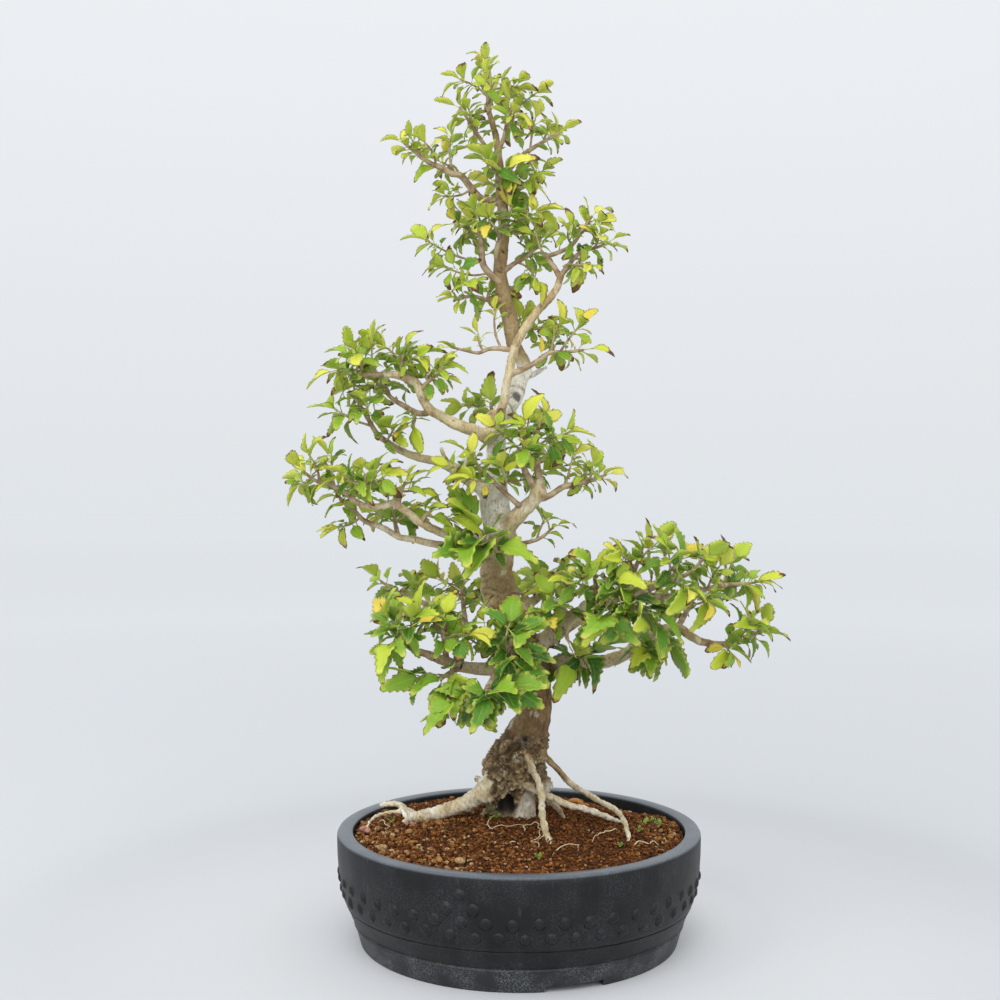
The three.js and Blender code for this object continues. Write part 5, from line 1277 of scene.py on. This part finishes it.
colour_of(leaf_skin, layered(
    leaf_skin, base,
    (times(leaf_skin, share_between(leaf_skin, margin, 0.42, 0.95), 0.72), (212, 214, 92)),
    (times(leaf_skin, veined, 0.2), (190, 206, 96)),
    (times(leaf_skin, under, 0.4), (164, 184, 96)),
    (share_between(leaf_skin, singe, 1.34, 1.41), (150, 104, 44)),
    (share_between(leaf_skin, singe, 1.4, 1.45), (70, 42, 34)),
))
bumped(leaf_skin, (veined, -0.0002), (blotch, 0.0003))


def grow_spray(name, leaf, stem, shoots, seed):
    """A spray as one piece: its stem, curved shoots, and clusters of leaves at every tip."""
    draw = np.random.default_rng(seed)
    large = leaf >= LARGE_LEAF
    size = leaf * np.interp(leaf, (24, 34), (0.7, 0.82))
    small = 0.38 if large else 0.46
    droop = np.interp(leaf, (26, 36), (-0.05, 0.34))
    path = even_path(stem, 2.2)
    knots = 0.16 * np.maximum(0, np.sin(np.arange(len(path)) * 1.9)) ** 6
    parts = [tube(path, 8, knots)]
    axis = unit(path[-1, :3] - path[-3, :3])
    tip_count = 4 if name in FEW_LEAVES else 9 if large else 8
    clusters = [
        cluster(path[-1, :3], axis, size, small, tip_count, STALK_SHARE * leaf, 0.5, droop, draw),
        sides_of(path, size, np.arange(0.42, 0.95, 13 / (2.2 * len(path) + 1)), droop, draw),
    ]
    for share, *tip in shoots:
        root = path[int(round(share * (len(path) - 1))), :3]
        tip = np.array(tip, float)
        way = tip - root
        reach = np.linalg.norm(way)
        sag = 0.09 * reach * unit(np.cross(way, draw.normal(size=3)))
        middles = [root + way * 0.35 + sag, root + way * 0.7 + sag * 0.8]
        rows = [(*root, 1.0), (*middles[0], 0.95), (*middles[1], 0.8), (*tip, 0.6)]
        shoot = even_path(rows, 3)
        parts.append(tube(shoot, 6, 0.2 * (np.arange(len(shoot)) % 3 == 1)))
        clusters.append(cluster(tip, way / reach, size, small, tip_count, 1.2, 0, droop, draw))
        clusters.append(sides_of(shoot, size, np.arange(0.4, 0.8, 10 / reach), droop, draw))
    roots, ways, stalks, length, age = (np.concatenate(kind) for kind in zip(*clusters))
    singed = draw.uniform(0, 1, len(age)) ** (3.5 if large else 0.9)
    blades = grown_leaves(roots, ways, stalks, length, leaf, singed, draw)
    points, faces = joined(parts)
    count = len(blades)
    leaf_quads = LEAF_FACES + np.arange(count)[:, None, None] * LEAF_POINTS + len(points)
    faces = faces + [leaf_quads.reshape(-1, 4)]
    everything = np.vstack([points, blades.reshape(-1, 3)])
    finishes = [twig] * (len(faces) - 1) + [leaf_skin]
    piece = new_piece("foliage_" + name, everything, faces, finishes)
    lay_out_leaves(piece, faces, len(points), count)
    green = np.clip((leaf - 16.5) / 28, 0.12, 0.72) + draw.normal(0, 0.13, count)
    green = green + 0.42 * (age - 0.42)
    turning = draw.uniform(0, 1, count) < (0.006 if large else 0.025)
    green = np.where(turning, 0.04, np.clip(green, 0.14, 1))
    bare = np.zeros(len(points))
    painted_on(piece, "tone", np.concatenate([bare, np.repeat(green, LEAF_POINTS)]))
    painted_on(piece, "burn", np.concatenate([bare, np.repeat(singed, LEAF_POINTS)]))
    painted_on(piece, "under", np.concatenate([bare, np.tile(LEAF_UNDER, count)]))
    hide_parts("spray_" + name)


for seed, (name, (leaf, stem, shoots)) in enumerate(SPRAYS.items()):
    grow_spray(name, leaf, stem, shoots, seed)

# The weeds. Seedlings a few millimetres high stand in the soil, each a tuft of three to five soft
# leaves from one point.
WEEDS = (
    (14, -109, 4.2, 3), (119, 22, 6, 5), (112, 12, 5, 4), (79, -74, 3.8, 3), (-24, -23, 3.4, 3),
    (-19, -14, 4, 4), (104, -4, 5.5, 5), (98, -30, 4.4, 4), (-108, 4, 4, 3), (118, -4, 4.6, 4),
)
draw = np.random.default_rng(31)
tufts = []
for x, y, length, count in WEEDS:
    foot = np.array([x, y, soil_height(x, y) + 0.8])
    tufts.append(cluster(foot + [0, 0, 2.5], np.array([0, 0, 1.0]), length, 0.6, count, 1.5, 0.6, 0, draw))
roots, ways, stalks, length, age = (np.concatenate(kind) for kind in zip(*tufts))
roots[:, 2] = soil_height(roots[:, 0], roots[:, 1]) + 0.6
blades = grown_leaves(roots, ways, stalks, length, 22, 0 * length, draw)
count = len(blades)
leaf_quads = LEAF_FACES + np.arange(count)[:, None, None] * LEAF_POINTS
faces = [leaf_quads.reshape(-1, 4)]
weeds = new_piece("weeds", blades.reshape(-1, 3), faces, [leaf_skin])
lay_out_leaves(weeds, faces, 0, count)
painted_on(weeds, "tone", np.repeat(draw.uniform(0.5, 0.9, count), LEAF_POINTS))
painted_on(weeds, "burn", np.zeros(count * LEAF_POINTS))
painted_on(weeds, "under", np.tile(LEAF_UNDER, count))
